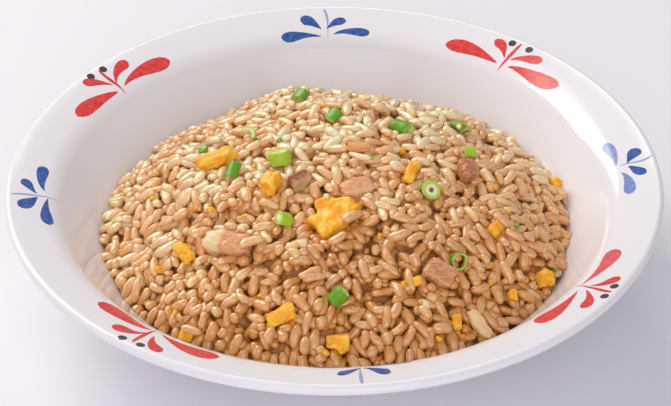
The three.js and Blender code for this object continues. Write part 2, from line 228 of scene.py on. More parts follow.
class Recipe:
    """A material being made, with one principled shader."""

    def __init__(self, name: str, **constants: object) -> None:
        self.material = bpy.data.materials.new(name)
        self.material.use_nodes = True
        self.tree = self.material.node_tree
        self.shader = self.tree.nodes["Principled BSDF"]
        for key, value in constants.items():
            self.shader.inputs[SOCKETS[key]].default_value = value

    def node(
        self, kind: str, settings: dict[str, object], values: dict[object, object], output: object = 0
    ) -> Shade:
        """Adds one node.

        Args:
            kind: The node's type.
            settings: Its options, set before its sockets are read.
            values: What goes into its sockets, by name or number: a Shade or a constant.
            output: The socket that is returned.

        Returns:
            The chosen output.
        """
        made = self.tree.nodes.new(kind)
        for key, value in settings.items():
            setattr(made, key, value)
        for key, value in values.items():
            self.feed(made.inputs[key], value)
        return Shade(self, made.outputs[output])

    def feed(self, socket: bpy.types.NodeSocket, value: object) -> None:
        """Links a Shade to a socket, or sets a constant on it."""
        if isinstance(value, Shade):
            self.tree.links.new(value.socket, socket)
        else:
            socket.default_value = value

    def maths(self, operation: str, first: Input, second: Input) -> Shade:
        """Adds one Math node."""
        return self.node("ShaderNodeMath", {"operation": operation}, {0: first, 1: second})

    def mix(self, share: Input, first: object, second: object) -> Shade:
        """Mixes two colours: share 0 is the first, 1 the second."""
        return self.node("ShaderNodeMix", {"data_type": "RGBA"}, {0: share, 6: first, 7: second}, 2)

    def mark(self, name: str) -> Shade:
        """Reads a number that is stored on the vertices."""
        return self.node("ShaderNodeAttribute", {"attribute_name": name}, {}, "Fac")

    def grain(self, size: float, detail: float = 2.0, stretch: Sequence[float] = (1, 1, 1)) -> Shade:
        """Noise in the object's own space.

        Args:
            size: The size of its patches in millimetres.
            detail: How many finer layers it has.
            stretch: How much finer it is along each axis.

        Returns:
            A number around 0.5.
        """
        place = self.node("ShaderNodeTexCoord", {}, {}, "Object")
        if tuple(stretch) != (1, 1, 1):
            place = self.node("ShaderNodeMapping", {}, {"Vector": place, "Scale": tuple(stretch)})
        values = {"Vector": place, "Scale": 1 / (size * MM), "Detail": detail}
        return self.node("ShaderNodeTexNoise", {}, values, "Fac")

    def bump(self, height: Shade, depth: float) -> None:
        """Raises the surface by a height field, depth in millimetres."""
        values = {"Height": height, "Distance": depth * MM, "Strength": 1.0}
        self.feed(self.shader.inputs["Normal"], self.node("ShaderNodeBump", {}, values, "Normal"))

    def paint(self, colour: object) -> None:
        """Sets the base colour."""
        self.feed(self.shader.inputs["Base Color"], colour)

    def roughen(self, value: object) -> None:
        """Sets the roughness."""
        self.feed(self.shader.inputs["Roughness"], value)


@dataclass(frozen=True)
class Porcelain:
    """White glazed porcelain."""

    white: str = "eae7e9"
    roughness: float = 0.13

    def material(self) -> bpy.types.Material:
        """Makes the glaze."""
        recipe = Recipe("glaze", roughness=self.roughness, ior=1.5)
        recipe.paint(rgb(self.white))
        return recipe.material


@dataclass(frozen=True)
class Enamel:
    """A painted stroke under the glaze, paler where the brush carried less and where the glaze's
    reflection is painted.
    """

    name: str
    full: str
    # the paler colour, for thin paint and for the painted reflection of the glaze
    thin: str
    roughness: float = 0.14

    def material(self) -> bpy.types.Material:
        """Makes the paint."""
        recipe = Recipe(self.name, roughness=self.roughness, ior=1.5)
        streaks = recipe.grain(1.6, 2.0).between(0.3, 0.8) * 0.25
        # the tone paints a stroke paler: thin paint, and painted reflection of the glaze
        recipe.paint(recipe.mix(recipe.mark("tone") + streaks, rgb(self.full), rgb(self.thin)))
        return recipe.material


@dataclass(frozen=True)
class RiceLook:
    """Boiled and fried grain: pale where clean, golden with sauce and painted front shade, painted shade
    in the gaps.
    """

    name: str
    pale: str
    golden: str
    # the colour of the painted shade in the gaps between grains
    gap: str = "dc9c4a"
    milky: str = "ffe4c2"

    def material(self) -> bpy.types.Material:
        """Makes the rice."""
        recipe = Recipe(
            self.name,
            subsurface_weight=1.0,
            subsurface_radius=(0.7, 0.95, 1.0),
            subsurface_scale=0.6 * MM,
            coat=1.0,
            coat_ior=1.6,
            coat_roughness=0.14,
            ior=1.5,
        )
        mottle = recipe.grain(1.7, 3.0)
        sauce_and_front_shade = recipe.mark("tone") + (mottle - 0.5) * 0.9
        colour = recipe.mix(sauce_and_front_shade.between(0.0, 1.0), rgb(self.pale), rgb(self.golden))
        colour = recipe.mix(recipe.grain(1.2, 2.0).between(0.52, 0.72) * 0.4, colour, rgb(self.milky))
        colour = recipe.mix(recipe.grain(0.45, 1.0).between(0.45, 0.65) * 0.22, colour, rgb("d09a5c"))
        fleck = recipe.grain(0.6, 1.0).between(0.72, 0.80)
        colour = recipe.mix(fleck * 0.4, colour, rgb("8a5526"))
        # painted shade: points that lie deep between grains, where shade falls, get the gap colour
        colour = recipe.mix(recipe.mark("deep"), colour, rgb(self.gap))
        recipe.paint(colour)
        recipe.roughen(0.16 + mottle * 0.2)
        recipe.bump(recipe.grain(1.0, 3.0), 0.34)
        return recipe.material


@dataclass(frozen=True)
class SauceAndShadeCore:
    """The rice inside the heap, seen through the gaps: sauced, and painted dark brown as the shade there.
    """

    # browns darker than the grains on top: sauce, and painted shade in the gaps
    dark: str = "b5743c"
    light: str = "dca05e"

    def material(self) -> bpy.types.Material:
        """Makes the inside of the heap."""
        recipe = Recipe("heap_core", roughness=0.45, ior=1.4)
        patches = recipe.grain(2.2, 3.0).between(0.35, 0.75)
        recipe.paint(recipe.mix(patches, rgb(self.dark), rgb(self.light)))
        recipe.bump(recipe.grain(1.0, 2.0), 0.2)
        return recipe.material


@dataclass(frozen=True)
class EggLook:
    """Scrambled egg: bright yellow with deeper orange folds."""

    bright: str = "ffc846"
    deep: str = "ffae24"
    dark: str = "f79a16"

    def material(self) -> bpy.types.Material:
        """Makes the egg."""
        recipe = Recipe(
            "egg",
            subsurface_weight=0.6,
            subsurface_radius=(1.0, 0.6, 0.16),
            subsurface_scale=1.6 * MM,
            ior=1.42,
        )
        patches = recipe.grain(4.2, 2.0)
        colour = recipe.mix(patches.between(0.38, 0.66), rgb(self.bright), rgb(self.deep))
        colour = recipe.mix(recipe.mark("tone") * 0.8, colour, rgb(self.dark))
        recipe.paint(colour)
        recipe.roughen(0.24 + recipe.grain(1.6, 1.0) * 0.25)
        recipe.bump(recipe.grain(0.9, 3.0), 0.07)
        return recipe.material


@dataclass(frozen=True)
class GreenLook:
    """A cut of spring onion: skin where tone is 0, inner flesh where it is 1."""

    name: str
    skin: str
    flesh: str

    def material(self) -> bpy.types.Material:
        """Makes the leaf or stalk."""
        recipe = Recipe(
            self.name,
            subsurface_weight=0.25,
            subsurface_radius=(0.5, 1.0, 0.2),
            subsurface_scale=0.8 * MM,
            ior=1.42,
            roughness=0.3,
        )
        change = (recipe.grain(1.8, 2.0) - 0.5) * 0.5
        inner = (recipe.mark("tone") + change).between(0.0, 1.0)
        recipe.paint(recipe.mix(inner, rgb(self.skin), rgb(self.flesh)))
        recipe.bump(recipe.grain(0.8, 2.0), 0.06)
        return recipe.material


@dataclass(frozen=True)
class MeatLook:
    """Cooked pork: lean where tone is 0, fat where it is 1, with fibres, and browner where dark is 1."""

    name: str
    lean: str
    brown: str
    fat: str

    def material(self) -> bpy.types.Material:
        """Makes the meat."""
        recipe = Recipe(
            self.name,
            subsurface_weight=0.5,
            subsurface_radius=(1.0, 0.5, 0.35),
            subsurface_scale=1.4 * MM,
            ior=1.42,
        )
        fibres = recipe.grain(1.3, 3.0, (0.35, 1.4, 1.4))
        browned = recipe.mark("dark") + (fibres - 0.5) * 1.3
        colour = recipe.mix(browned.between(0.0, 1.0), rgb(self.lean), rgb(self.brown))
        colour = recipe.mix(recipe.mark("tone").between(0.0, 1.0), colour, rgb(self.fat))
        recipe.paint(colour)
        recipe.roughen(0.22 + fibres * 0.25)
        recipe.bump(fibres, 0.16)
        return recipe.material


@dataclass(frozen=True)
class PlainLook:
    """One matt colour, for what the plate stands on."""

    name: str
    colour: str
    roughness: float = 0.5

    def material(self) -> bpy.types.Material:
        """Makes the material."""
        recipe = Recipe(self.name, roughness=self.roughness)
        recipe.paint(rgb(self.colour))
        return recipe.material


class Finish(Enum):
    """The record's material slots for the bits in the rice, and their looks."""

    EGG = EggLook()
    LEAF = GreenLook("leaf", "6aa024", "cfe07a")
    STALK = GreenLook("stalk", "b0d23a", "f0f3c6")
    PORK = MeatLook("pork", "e6ab7a", "964b2a", "f0d2a4")
    ONION = MeatLook("onion", "f4d6a2", "e2b878", "f8e6c4")
    CRUST = MeatLook("crust", "eab074", "c97433", "f3cd98")

    @property
    def slot(self) -> str:
        """The slot's name in the record."""
        return self.name.lower()


@dataclass(frozen=True)
class HeapForm:
    """The heap's dome over the plate's axis, in millimetres."""

    x: float = 1.5
    y: float = 2.0
    radius: float = 84.0
    edge_height: float = 26.3
    rise: float = 34.5
    fullness: float = 1.2
    beyond: float = 1.3
    clump_height: float = 6.5
    clump_length: float = 16.0
    clump_range: tuple[float, float] = (-0.85, 0.32)
    # height, length, heading and shift in degrees of each wave that makes the dome uneven
    waves: tuple[tuple[float, float, float, float], ...] = (
        (0.8, 47, 20, 40),
        (0.7, 36, 110, 200),
        (0.5, 26, 65, 90),
    )
    # depth, x, y and reach of each place where the heap lies lower
    dips: tuple[tuple[float, float, float, float], ...] = ((6.5, -46, 48, 21), (6.7, 34, 84, 29))

    def height(self, x: Array, y: Array) -> Array:
        """The dome's height over a place, or over arrays of places."""
        distance = np.hypot(x - self.x, y - self.y)
        share = np.clip(distance / self.radius, 0, 1)
        inside = self.edge_height + self.rise * (1 - share**2) ** (1 / self.fullness)
        outside = self.edge_height - self.beyond * (distance - self.radius)
        result = np.where(distance < self.radius, inside, outside)
        for height, length, heading, shift in self.waves:
            turn = math.radians(heading)
            along = x * math.cos(turn) + y * math.sin(turn)
            result = result + height * np.sin(2 * np.pi * along / length + math.radians(shift))
        for depth, dip_x, dip_y, reach in self.dips:
            away = np.hypot(x - dip_x, y - dip_y) / reach
            result = result - depth * np.exp(-(away**2) / 2)
        return result

    def clumps(self, x: Array, y: Array) -> Array:
        """How far sticky clumps rise over the dome, and crevices fall under it."""
        places = zip(np.ravel(x) / self.clump_length, np.ravel(y) / self.clump_length)
        values = [noise.fractal(Vector((px, py, 3.3)), 0.9, 2.0, 3) for px, py in places]
        return self.clump_height * np.clip(np.reshape(values, np.shape(x)), *self.clump_range)

    def normal(self, x: float, y: float) -> Vector:
        """The dome's upward normal over a place."""
        step = 0.5
        slope_x = self.height(x - step, y) - self.height(x + step, y)
        slope_y = self.height(x, y - step) - self.height(x, y + step)
        return Vector((float(slope_x), float(slope_y), 2 * step)).normalized()


@dataclass(frozen=True)
class PlateForm:
    """The plate's section: a floor, a sloping wall, a rounded shoulder and a wide rim."""

    floor_radius: float = 56.0
    floor_height: float = 9.0
    wall_foot: tuple[float, float] = (77.0, 18.6)
    wall_slope: float = 49.5
    shoulder: tuple[float, float] = (98.0, 43.15)
    shoulder_round: float = 4.2
    rim_drop: float = 17.0
    lip_radius: float = 113.1
    lip_height: float = 45.8
    lip_round: float = 1.9
    thickness: float = 4.4
    foot_outer: float = 62.0
    foot_inner: float = 56.5
    foot_chamfer: float = 1.0
    foot_recess: float = 4.4
    foot_wall: tuple[float, float] = (3.6, 5.2)  # heights between which the ring flares into the bowl
    foot_flare: float = 0.6
    margins: tuple[float, float] = (3.0, 2.6)  # that the underside keeps from the foot and the lip
    foot_steps: int = 14  # of the curve from the floor to the wall
    bend_steps: int = 12
    lip_steps: int = 14

    @staticmethod
    def bow(start: Array, middle: Array, end: Array, steps: int) -> Array:
        """Points on a curve from start to end, drawn towards middle."""
        t = np.linspace(0, 1, steps)[:, None]
        return (1 - t) ** 2 * start + 2 * t * (1 - t) * middle + t**2 * end

    def upper(self) -> Array:
        """The upper side from the middle to the lip, as (radius, height)."""
        foot = np.array(self.wall_foot)
        slope = math.tan(math.radians(self.wall_slope))
        start = np.array([self.floor_radius, self.floor_height])
        turn = np.array([foot[0] - (foot[1] - self.floor_height) / slope, self.floor_height])
        corner = np.array(self.shoulder)
        lean = math.radians(self.wall_slope)
        wall = np.array([math.cos(lean), math.sin(lean)])
        rim = np.array([math.cos(math.radians(self.rim_drop)), math.sin(math.radians(self.rim_drop))])
        bend = self.bow(
            corner - wall * self.shoulder_round,
            corner,
            corner + rim * self.shoulder_round,
            self.bend_steps,
        )
        lean = math.radians(90 + self.rim_drop)
        lip = [
            (
                self.lip_radius + self.lip_round * math.cos(lean - t),
                self.lip_height + self.lip_round * math.sin(lean - t),
            )
            for t in np.linspace(0, math.pi, self.lip_steps)
        ]
        rise = self.bow(start, turn, foot, self.foot_steps)
        return np.vstack([[[0, self.floor_height]], rise, bend, lip])

    def section(self) -> Array:
        """The whole closed section, from the middle of the well round the lip to the middle below."""
        upper = self.upper()
        outside = upper[1 + self.foot_steps : -self.lip_steps][::-1]
        along = np.gradient(outside, axis=0)
        along /= np.linalg.norm(along, axis=1)[:, None]
        # walked backwards, the underside lies to the left of the way
        under = outside + np.stack([-along[:, 1], along[:, 0]], axis=1) * self.thickness
        from_foot, from_lip = self.margins
        keep = under[
            (under[:, 0] < self.lip_radius - from_lip) & (under[:, 0] > self.foot_outer + from_foot)
        ]
        edge = self.foot_chamfer
        ring = [
            (self.foot_outer + self.foot_flare, self.foot_wall[1]),
            (self.foot_outer, self.foot_wall[0]),
            (self.foot_outer, edge),
            (self.foot_outer - edge, 0),
            (self.foot_inner + edge, 0),
            (self.foot_inner, edge),
            (self.foot_inner, self.foot_recess),
            (0, self.foot_recess),
        ]
        return np.vstack([upper, keep, ring])

    def height(self, radius: Array) -> Array:
        """The height of the upper side at a radius."""
        # the lip's second half turns back inwards, so the profile ends before it
        upper = self.upper()[: 5 - self.lip_steps]
        return np.interp(radius, upper[:, 0], upper[:, 1])


@dataclass
class Plate:
    """The porcelain plate, turned from its section."""

    form: PlateForm
    steps: int = 192

    def build(self) -> bpy.types.Object:
        """Draws the section point by point and spins it round the axis."""
        section = self.form.section()
        Bench.clear()
        bpy.ops.mesh.primitive_plane_add(size=MM)
        piece = Bench.named("plate_body")
        Bench.edit(piece)
        bpy.ops.mesh.merge(type="CENTER")
        radius, height = section[0]
        bpy.ops.transform.translate(value=(radius * MM, 0, height * MM))
        for move in np.diff(section, axis=0):
            bpy.ops.mesh.extrude_vertices_move(
                TRANSFORM_OT_translate={"value": (move[0] * MM, 0, move[1] * MM)}
            )
        bpy.ops.mesh.select_all(action="SELECT")
        bpy.ops.mesh.spin(steps=self.steps, angle=math.tau, center=(0, 0, 0), axis=(0, 0, 1))
        bpy.ops.mesh.select_all(action="SELECT")
        bpy.ops.mesh.remove_doubles(threshold=0.01 * MM)
        bpy.ops.mesh.normals_make_consistent(inside=False)
        bpy.ops.object.mode_set(mode="OBJECT")
        Bench.smooth(piece, 40)
        return piece

    def dress(self, piece: bpy.types.Object) -> None:
        """Glazes the plate."""
        finish_piece(piece, Porcelain().material(), ["plate"])


class Brush(Enum):
    """How a stroke swells from its first point to its last: (share of the way, share of the width)."""

    WING = (
        (0, 0.06), (0.1, 0.2), (0.35, 0.55), (0.6, 0.9),
        (0.76, 1.0), (0.88, 0.88), (0.96, 0.52), (1, 0.0),
    )
    STEM = ((0, 0.35), (0.1, 0.75), (0.4, 1.0), (0.7, 0.7), (1, 0.12))
    DOT = ((0, 0.0), (0.08, 0.55), (0.25, 0.87), (0.5, 1.0), (0.75, 0.87), (0.92, 0.55), (1, 0.0))

    def widths(self, steps: int) -> Array:
        """The stroke's width share at even steps."""
        way, width = np.array(self.value).T
        return np.interp(np.linspace(0, 1, steps), way, width)


@dataclass(frozen=True)
class Stroke:
    """One brush stroke: points are (millimetres along the rim from the stem, radius)."""

    brush: Brush
    width: float
    points: tuple[tuple[float, float], ...]
    # how much paler the stroke is: thin paint, and painted reflection of the glaze
    tone: float = 0.0


@dataclass(frozen=True)
class Spray:
    """A group of strokes round one place of the rim."""

    azimuth: float
    strokes: tuple[Stroke, ...]
    dots: tuple[tuple[float, float], ...] = ()


def wing(width: float, *points: tuple[float, float], tone: float = 0.0) -> Stroke:
    """A petal that starts thin and ends round."""
    return Stroke(Brush.WING, width, points, tone)


def stem(width: float, *points: tuple[float, float], tone: float = 0.0) -> Stroke:
    """A thin stem."""
    return Stroke(Brush.STEM, width, points, tone)


RED_SPRAYS = (
    Spray(
        141.8,
        (
            wing(6.2, (-2.4, 100.6), (-10, 102.2), (-18.1, 102.2), (-26.6, 101.6)),
            wing(5.8, (2.4, 100.0), (8.2, 101.1), (16.5, 102.2), (25.4, 102.6)),
            wing(4.4, (-0.8, 103.2), (-4.2, 106.4), (-8.3, 108.1), (-11.9, 108.2)),
            wing(3.9, (1.2, 103.3), (3.9, 106.6), (6.4, 108.9), (9.3, 110.8)),
            stem(1.4, (0, 111.3), (0.1, 106.2), (-0.1, 102.6), (0, 98.2)),
        ),
        ((-1.8, 110.8), (4.4, 111.05)),
    ),
    Spray(
        51.1,
        (
            wing(6.0, (2.7, 100.3), (10, 101.5), (18, 102.3), (26.4, 101.1)),
            wing(6.2, (-2.7, 100.6), (-9.2, 101.5), (-17.7, 101.8), (-26.6, 103.6)),
            wing(4.0, (1.4, 103.5), (3.8, 106.5), (6, 108.3), (9.5, 109.5)),
            wing(4.2, (-1.2, 103.6), (-4.5, 106.1), (-8.4, 107.7), (-12.3, 109.1)),
            stem(1.5, (-0.4, 112.0), (0, 106.4), (0.1, 102.3), (0.3, 97.9)),
        ),
        ((2.8, 110.7), (-4.5, 110.95)),
    ),
    Spray(
        324.9,
        (
            # this wing is painted paler: painted reflection of the window in the glaze, and thinner paint
            wing(5.9, (2.1, 99.9), (11.9, 101.9), (19.1, 102.6), (25.0, 102.7), tone=0.25),
            wing(6.2, (-3.1, 100.8), (-12.4, 101.8), (-20.1, 102.0), (-26.9, 101.1)),
            wing(3.7, (1.5, 103.2), (2.9, 106.4), (5.3, 108.7), (8.2, 110.7)),
            wing(4.0, (-1.5, 103.3), (-5.2, 106.7), (-8.9, 108.6), (-11.9, 107.6)),
            stem(1.4, (-0.7, 112.4), (-0.5, 108.8), (0.2, 104.4), (1.0, 98.2)),
        ),
        ((2.6, 111.4), (-3.6, 111.5)),
    ),
    Spray(
        234.4,
        (
            wing(6.0, (3.1, 99.9), (10.5, 101.9), (18.4, 103.0), (26.9, 102.0)),
            wing(6.0, (-1.7, 99.9), (-7.9, 100.9), (-17, 101.0), (-25.4, 102.5)),
            wing(4.6, (-1.0, 103.0), (-4.1, 106.3), (-7.4, 107.6), (-10.8, 109.1)),
            wing(4.2, (2.2, 103.0), (4.1, 106.7), (7.0, 109.3), (10.5, 109.9)),
            stem(1.5, (0.3, 111.8), (-0.4, 106.6), (-0.6, 102.3), (-0.6, 98.6)),
        ),
        ((-3.35, 112.1), (3.15, 111.4)),
    ),
)

BLUE_SPRAYS = (
    Spray(
        184.2,
        (
            wing(4.2, (-4.3, 101.1), (-8.6, 102.6), (-14, 103.0), (-18.6, 103.2)),
            wing(4.3, (0.1, 100.0), (6.1, 100.8), (11.5, 100.9), (16.7, 100.4)),
            wing(3.9, (-1.6, 103.8), (-3.8, 105.7), (-6.1, 107.3), (-7.8, 109.4)),
            wing(5.2, (0.6, 103.4), (2.8, 105.2), (5.2, 107.1), (7.8, 110.1)),
        ),
    ),
    Spray(
        6.4,
        (
            # these two wings are painted paler: painted highlight of the glaze at the right shoulder, and
            # thinner paint
            wing(3.8, (0.8, 100.5), (5.7, 101.2), (11.1, 101.1), (15.9, 100.3), tone=0.75),
            wing(4.2, (-4.1, 101.6), (-7.9, 103.1), (-13.1, 103.5), (-18.0, 103.0), tone=0.6),
            wing(5.0, (0.6, 104.5), (2.7, 106.1), (4.5, 107.7), (6.5, 109.9)),
            wing(3.9, (-1.7, 104.4), (-3.2, 105.8), (-5.6, 107.3), (-7.9, 109.9)),
        ),
    ),
    Spray(
        91.6,
        (
            wing(4.2, (2.6, 99.2), (9.2, 99.9), (13.9, 99.8), (18.7, 99.7)),
            wing(3.6, (-2.8, 99.9), (-7.2, 101.2), (-12.3, 101.3), (-17.2, 100.9)),
            wing(4.7, (2.2, 102.4), (4.6, 104.7), (7.0, 106.5), (10.0, 107.1)),
            wing(3.6, (0, 102.6), (-2.1, 104.4), (-4.3, 105.8), (-7.5, 106.2)),
        ),
    ),
    Spray(
        274.6,
        (
            wing(3.4, (0.6, 100.4), (-2.3, 102.1), (-5.2, 103.8), (-7.4, 104.0)),
            wing(4.6, (1.4, 100.2), (4.8, 102.1), (7.2, 104.1), (9.9, 105.3)),
            # these two wings are painted paler: painted reflection where the front shoulder turns away,
            # and thinner paint
            wing(4.0, (-2.4, 98.4), (-7.5, 98.0), (-12.5, 97.6), (-18.0, 97.4), tone=0.3),
            wing(4.0, (3.4, 98.6), (9.5, 98.0), (14.5, 97.6), (20.0, 97.2), tone=0.3),
        ),
    ),
)

PALE_STEMS = (
    Spray(184.2, (stem(0.9, (1.6, 112.4), (0.3, 108.0), (-0.4, 103.4), (-1.5, 96.6)),)),
    Spray(6.4, (stem(0.9, (0.6, 113.2), (-0.7, 109.2), (0, 105.3), (0.1, 101.7)),)),
    Spray(91.6, (stem(0.9, (0.8, 112.0), (0, 109.4), (-0.4, 105.9), (-0.4, 98.5)),)),
    Spray(274.6, (stem(1.2, (-0.1, 112.6), (-0.1, 109.1), (0, 105.1), (0.2, 101.0)),)),
)


@dataclass
class PaintedRim:
    """The brush strokes on the rim, as thin skins on the glaze."""

    form: PlateForm
    raise_by: float = 0.06
    middle_radius: float = 106.0
    least_half: float = 0.02
    along: int = 26
    across: int = 7

    def curve(self, stroke: Stroke) -> Array:
        """The stroke's middle line as even steps through its points."""
        points = np.array(stroke.points, dtype=float)
        knots = np.linspace(0, 1, len(points))
        t = np.linspace(0, 1, self.along)
        degree = len(points) - 1
        fit = [np.polyfit(knots, points[:, k], degree) for k in (0, 1)]
        return np.stack([np.polyval(f, t) for f in fit], axis=1)

    def on_plate(self, azimuth: float, places: Array, lift: float) -> Array:
        """Turns (along the rim, radius) into points over the plate's upper side."""
        turn = math.radians(azimuth) + places[:, 0] / self.middle_radius
        radius = places[:, 1]
        height = self.form.height(radius) + lift
        return np.stack([radius * np.cos(turn), radius * np.sin(turn), height], axis=1)

    def skin(self, azimuth: float, stroke: Stroke) -> tuple[Array, list, Array]:
        """One stroke as a closed thin skin.

        Args:
            azimuth: Where the spray's stem stands.
            stroke: The stroke.

        Returns:
            Points, faces and the tone at each point.
        """
        middle = self.curve(stroke)
        way = np.gradient(middle, axis=0)
        way /= np.linalg.norm(way, axis=1)[:, None] + 1e-9
        side = np.stack([-way[:, 1], way[:, 0]], axis=1)
        half = stroke.brush.widths(self.along) * stroke.width / 2 + self.least_half
        shares = np.linspace(-1, 1, self.across)
        places = middle[:, None, :] + side[:, None, :] * (half[:, None] * shares)[:, :, None]
        flat = places.reshape(-1, 2)
        rows, columns = self.along, self.across
        count = rows * columns
        top = self.on_plate(azimuth, flat, self.raise_by)
        bottom = self.on_plate(azimuth, flat, -self.raise_by)
        faces = []
        for i in range(rows - 1):
            for j in range(columns - 1):
                a, b = i * columns + j, (i + 1) * columns + j
                faces.append((a, b, b + 1, a + 1))
                faces.append((count + a, count + a + 1, count + b + 1, count + b))
        border = [i * columns for i in range(rows)]
        border += [(rows - 1) * columns + j for j in range(1, columns)]
        border += [i * columns + columns - 1 for i in range(rows - 2, -1, -1)]
        border += range(columns - 2, 0, -1)
        for a, b in zip(border, border[1:] + border[:1]):
            faces.append((a, count + a, count + b, b))
        tone = np.full(2 * count, stroke.tone)
        return np.vstack([top, bottom]), faces, tone

    def build(self, name: str, sprays: Sequence[Spray]) -> bpy.types.Object:
        """All strokes of some sprays as one piece."""
        points, faces, tones, start = [], [], [], 0
        for spray in sprays:
            for stroke in spray.strokes:
                skin, sides, tone = self.skin(spray.azimuth, stroke)
                points.append(skin)
                tones.append(tone)
                faces += [tuple(start + v for v in f) for f in sides]
                start += len(skin)
        piece = Bench.mesh(name, np.vstack(points), faces)
        Bench.mark(piece, "tone", np.concatenate(tones))
        Bench.outward(piece)
        Bench.smooth(piece, 40)
        return piece

    def build_dots(self, name: str, sprays: Sequence[Spray], size: float = 2.9) -> bpy.types.Object:
        """The round dots of some sprays as one piece."""
        dots = [
            Spray(s.azimuth, (Stroke(Brush.DOT, size, ((u - size / 2, r), (u, r), (u + size / 2, r))),))
            for s in sprays
            for u, r in s.dots
        ]
        return self.build(name, dots)

    def dress(self) -> None:
        """Builds and paints every stroke."""
        jobs = (
            (self.build("spray_red", RED_SPRAYS), Enamel("paint_red", "d8322b", "f08f98")),
            (self.build("spray_blue", BLUE_SPRAYS), Enamel("paint_blue", "234f9a", "93a3d6")),
            (self.build("spray_stems", PALE_STEMS), Enamel("paint_pale", "8ea3d0", "c8d3ea")),
            (self.build_dots("spray_dots", RED_SPRAYS), Enamel("paint_brown", "4c3a36", "6a5650")),
        )
        for piece, look in jobs:
            finish_piece(piece, look.material())


@dataclass(frozen=True)
class Place:
    """Where a bit lies on the dome: heading turns it, pitch lifts its front end, roll turns it over."""

    x: float
    y: float
    heading: float = 0.0
    pitch: float = 0.0
    roll: float = 0.0
    lift: float = 0.0

    def matrix(self, form: HeapForm) -> Matrix:
        """The turn and the shift, in millimetres, from the bit's own frame."""
        normal = form.normal(self.x, self.y)
        turn = math.radians(self.heading)
        along = Vector((math.cos(turn), math.sin(turn), 0))
        along = (along - along.dot(normal) * normal).normalized()
        across = normal.cross(along)
        basis = Matrix((along, across, normal)).transposed()
        tilt = Euler((0, -math.radians(self.pitch), 0)).to_matrix()
        rolled = Euler((math.radians(self.roll), 0, 0)).to_matrix()
        middle = Vector((self.x, self.y, float(form.height(self.x, self.y)))) + normal * self.lift
        return Matrix.Translation(middle) @ (basis @ tilt @ rolled).to_4x4()


def wrinkle(points: Array, size: float, seed: int, octaves: int = 3) -> Array:
    """Noise from -1 to 1 at each point, with patches of the given size in millimetres."""
    shift = Vector((seed * 7.3, seed * 3.1, seed * 5.7))
    return np.array([noise.fractal(Vector(p) / size + shift, 1.0, 2.0, octaves) for p in points])


@dataclass
class Bit:
    """One bit of food in the rice, in a CAD node's place."""

    node: str
    place: Place
    finish: Finish
    seed: int = 0

    def shape(self) -> bpy.types.Object:
        """Models the bit in its own frame."""
        raise NotImplementedError

    def build(self, form: HeapForm) -> bpy.types.Object:
        """Models the bit and lays it in its place.

        Args:
            form: The dome that it lies on.

        Returns:
            The finished piece, which keeps inside its node's box.
        """
        piece = self.shape()
        turned = self.place.matrix(form)
        points = Bench.points(piece)
        matrix = np.array(turned)
        points = points @ matrix[:3, :3].T + matrix[:3, 3]
        low, high = (np.array(corner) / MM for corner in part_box(self.node))
        middle, size = (points.max(0) + points.min(0)) / 2, np.ptp(points, axis=0)
        points = (points - middle) * ((high - low) / size) + (low + high) / 2
        Bench.move(piece, points)
        Bench.outward(piece)
        return piece


@dataclass
class Lump(Bit):
    """An uneven lump: a ball pulled to a size, with flatter faces as it gets blockier."""

    size: tuple[float, float, float] = (8.0, 6.0, 5.0)
    block: float = 0.3
    fold: float = 0.16
    curl: float = 0.05
    dark: float = 0.25
    fat: tuple[float, float] = (9.0, 10.0)
    fat_way: tuple[float, float, float] = (1.0, 0.0, 0.0)

    def shape(self) -> bpy.types.Object:
        """Starts from a ball and moves its skin."""
        Bench.clear()
        bpy.ops.mesh.primitive_ico_sphere_add(subdivisions=5, radius=MM)
        piece = Bench.named(self.node + "_bit")
        unit = Bench.points(piece)
        unit /= np.linalg.norm(unit, axis=1)[:, None]
        power = 2 + 5 * self.block
        reach = (np.abs(unit) ** power).sum(1) ** (-1 / power)
        points = unit * reach[:, None] * np.array(self.size) / 2
        broad = wrinkle(points, 4.2, self.seed + 11)
        ridges = 1 - np.abs(wrinkle(points, 2.3, self.seed + 31, 2)) * 2
        fine = wrinkle(points, 0.9, self.seed + 51, 2)
        push = self.fold * 1.6 * broad + self.curl * ridges * 1.6 + 0.03 * fine
        points *= (1 + push)[:, None]
        Bench.move(piece, points)
        share = (points / (np.array(self.size) / 2)) @ np.array(self.fat_way)
        start, end = self.fat
        tone = np.clip((share - start) / (end - start), 0, 1)
        if self.finish is Finish.EGG:
            tone = np.clip(-broad * 1.6, 0, 1)
        Bench.mark(piece, "tone", tone)
        Bench.mark(piece, "dark", np.full(len(tone), self.dark))
        Bench.smooth(piece)
        return piece


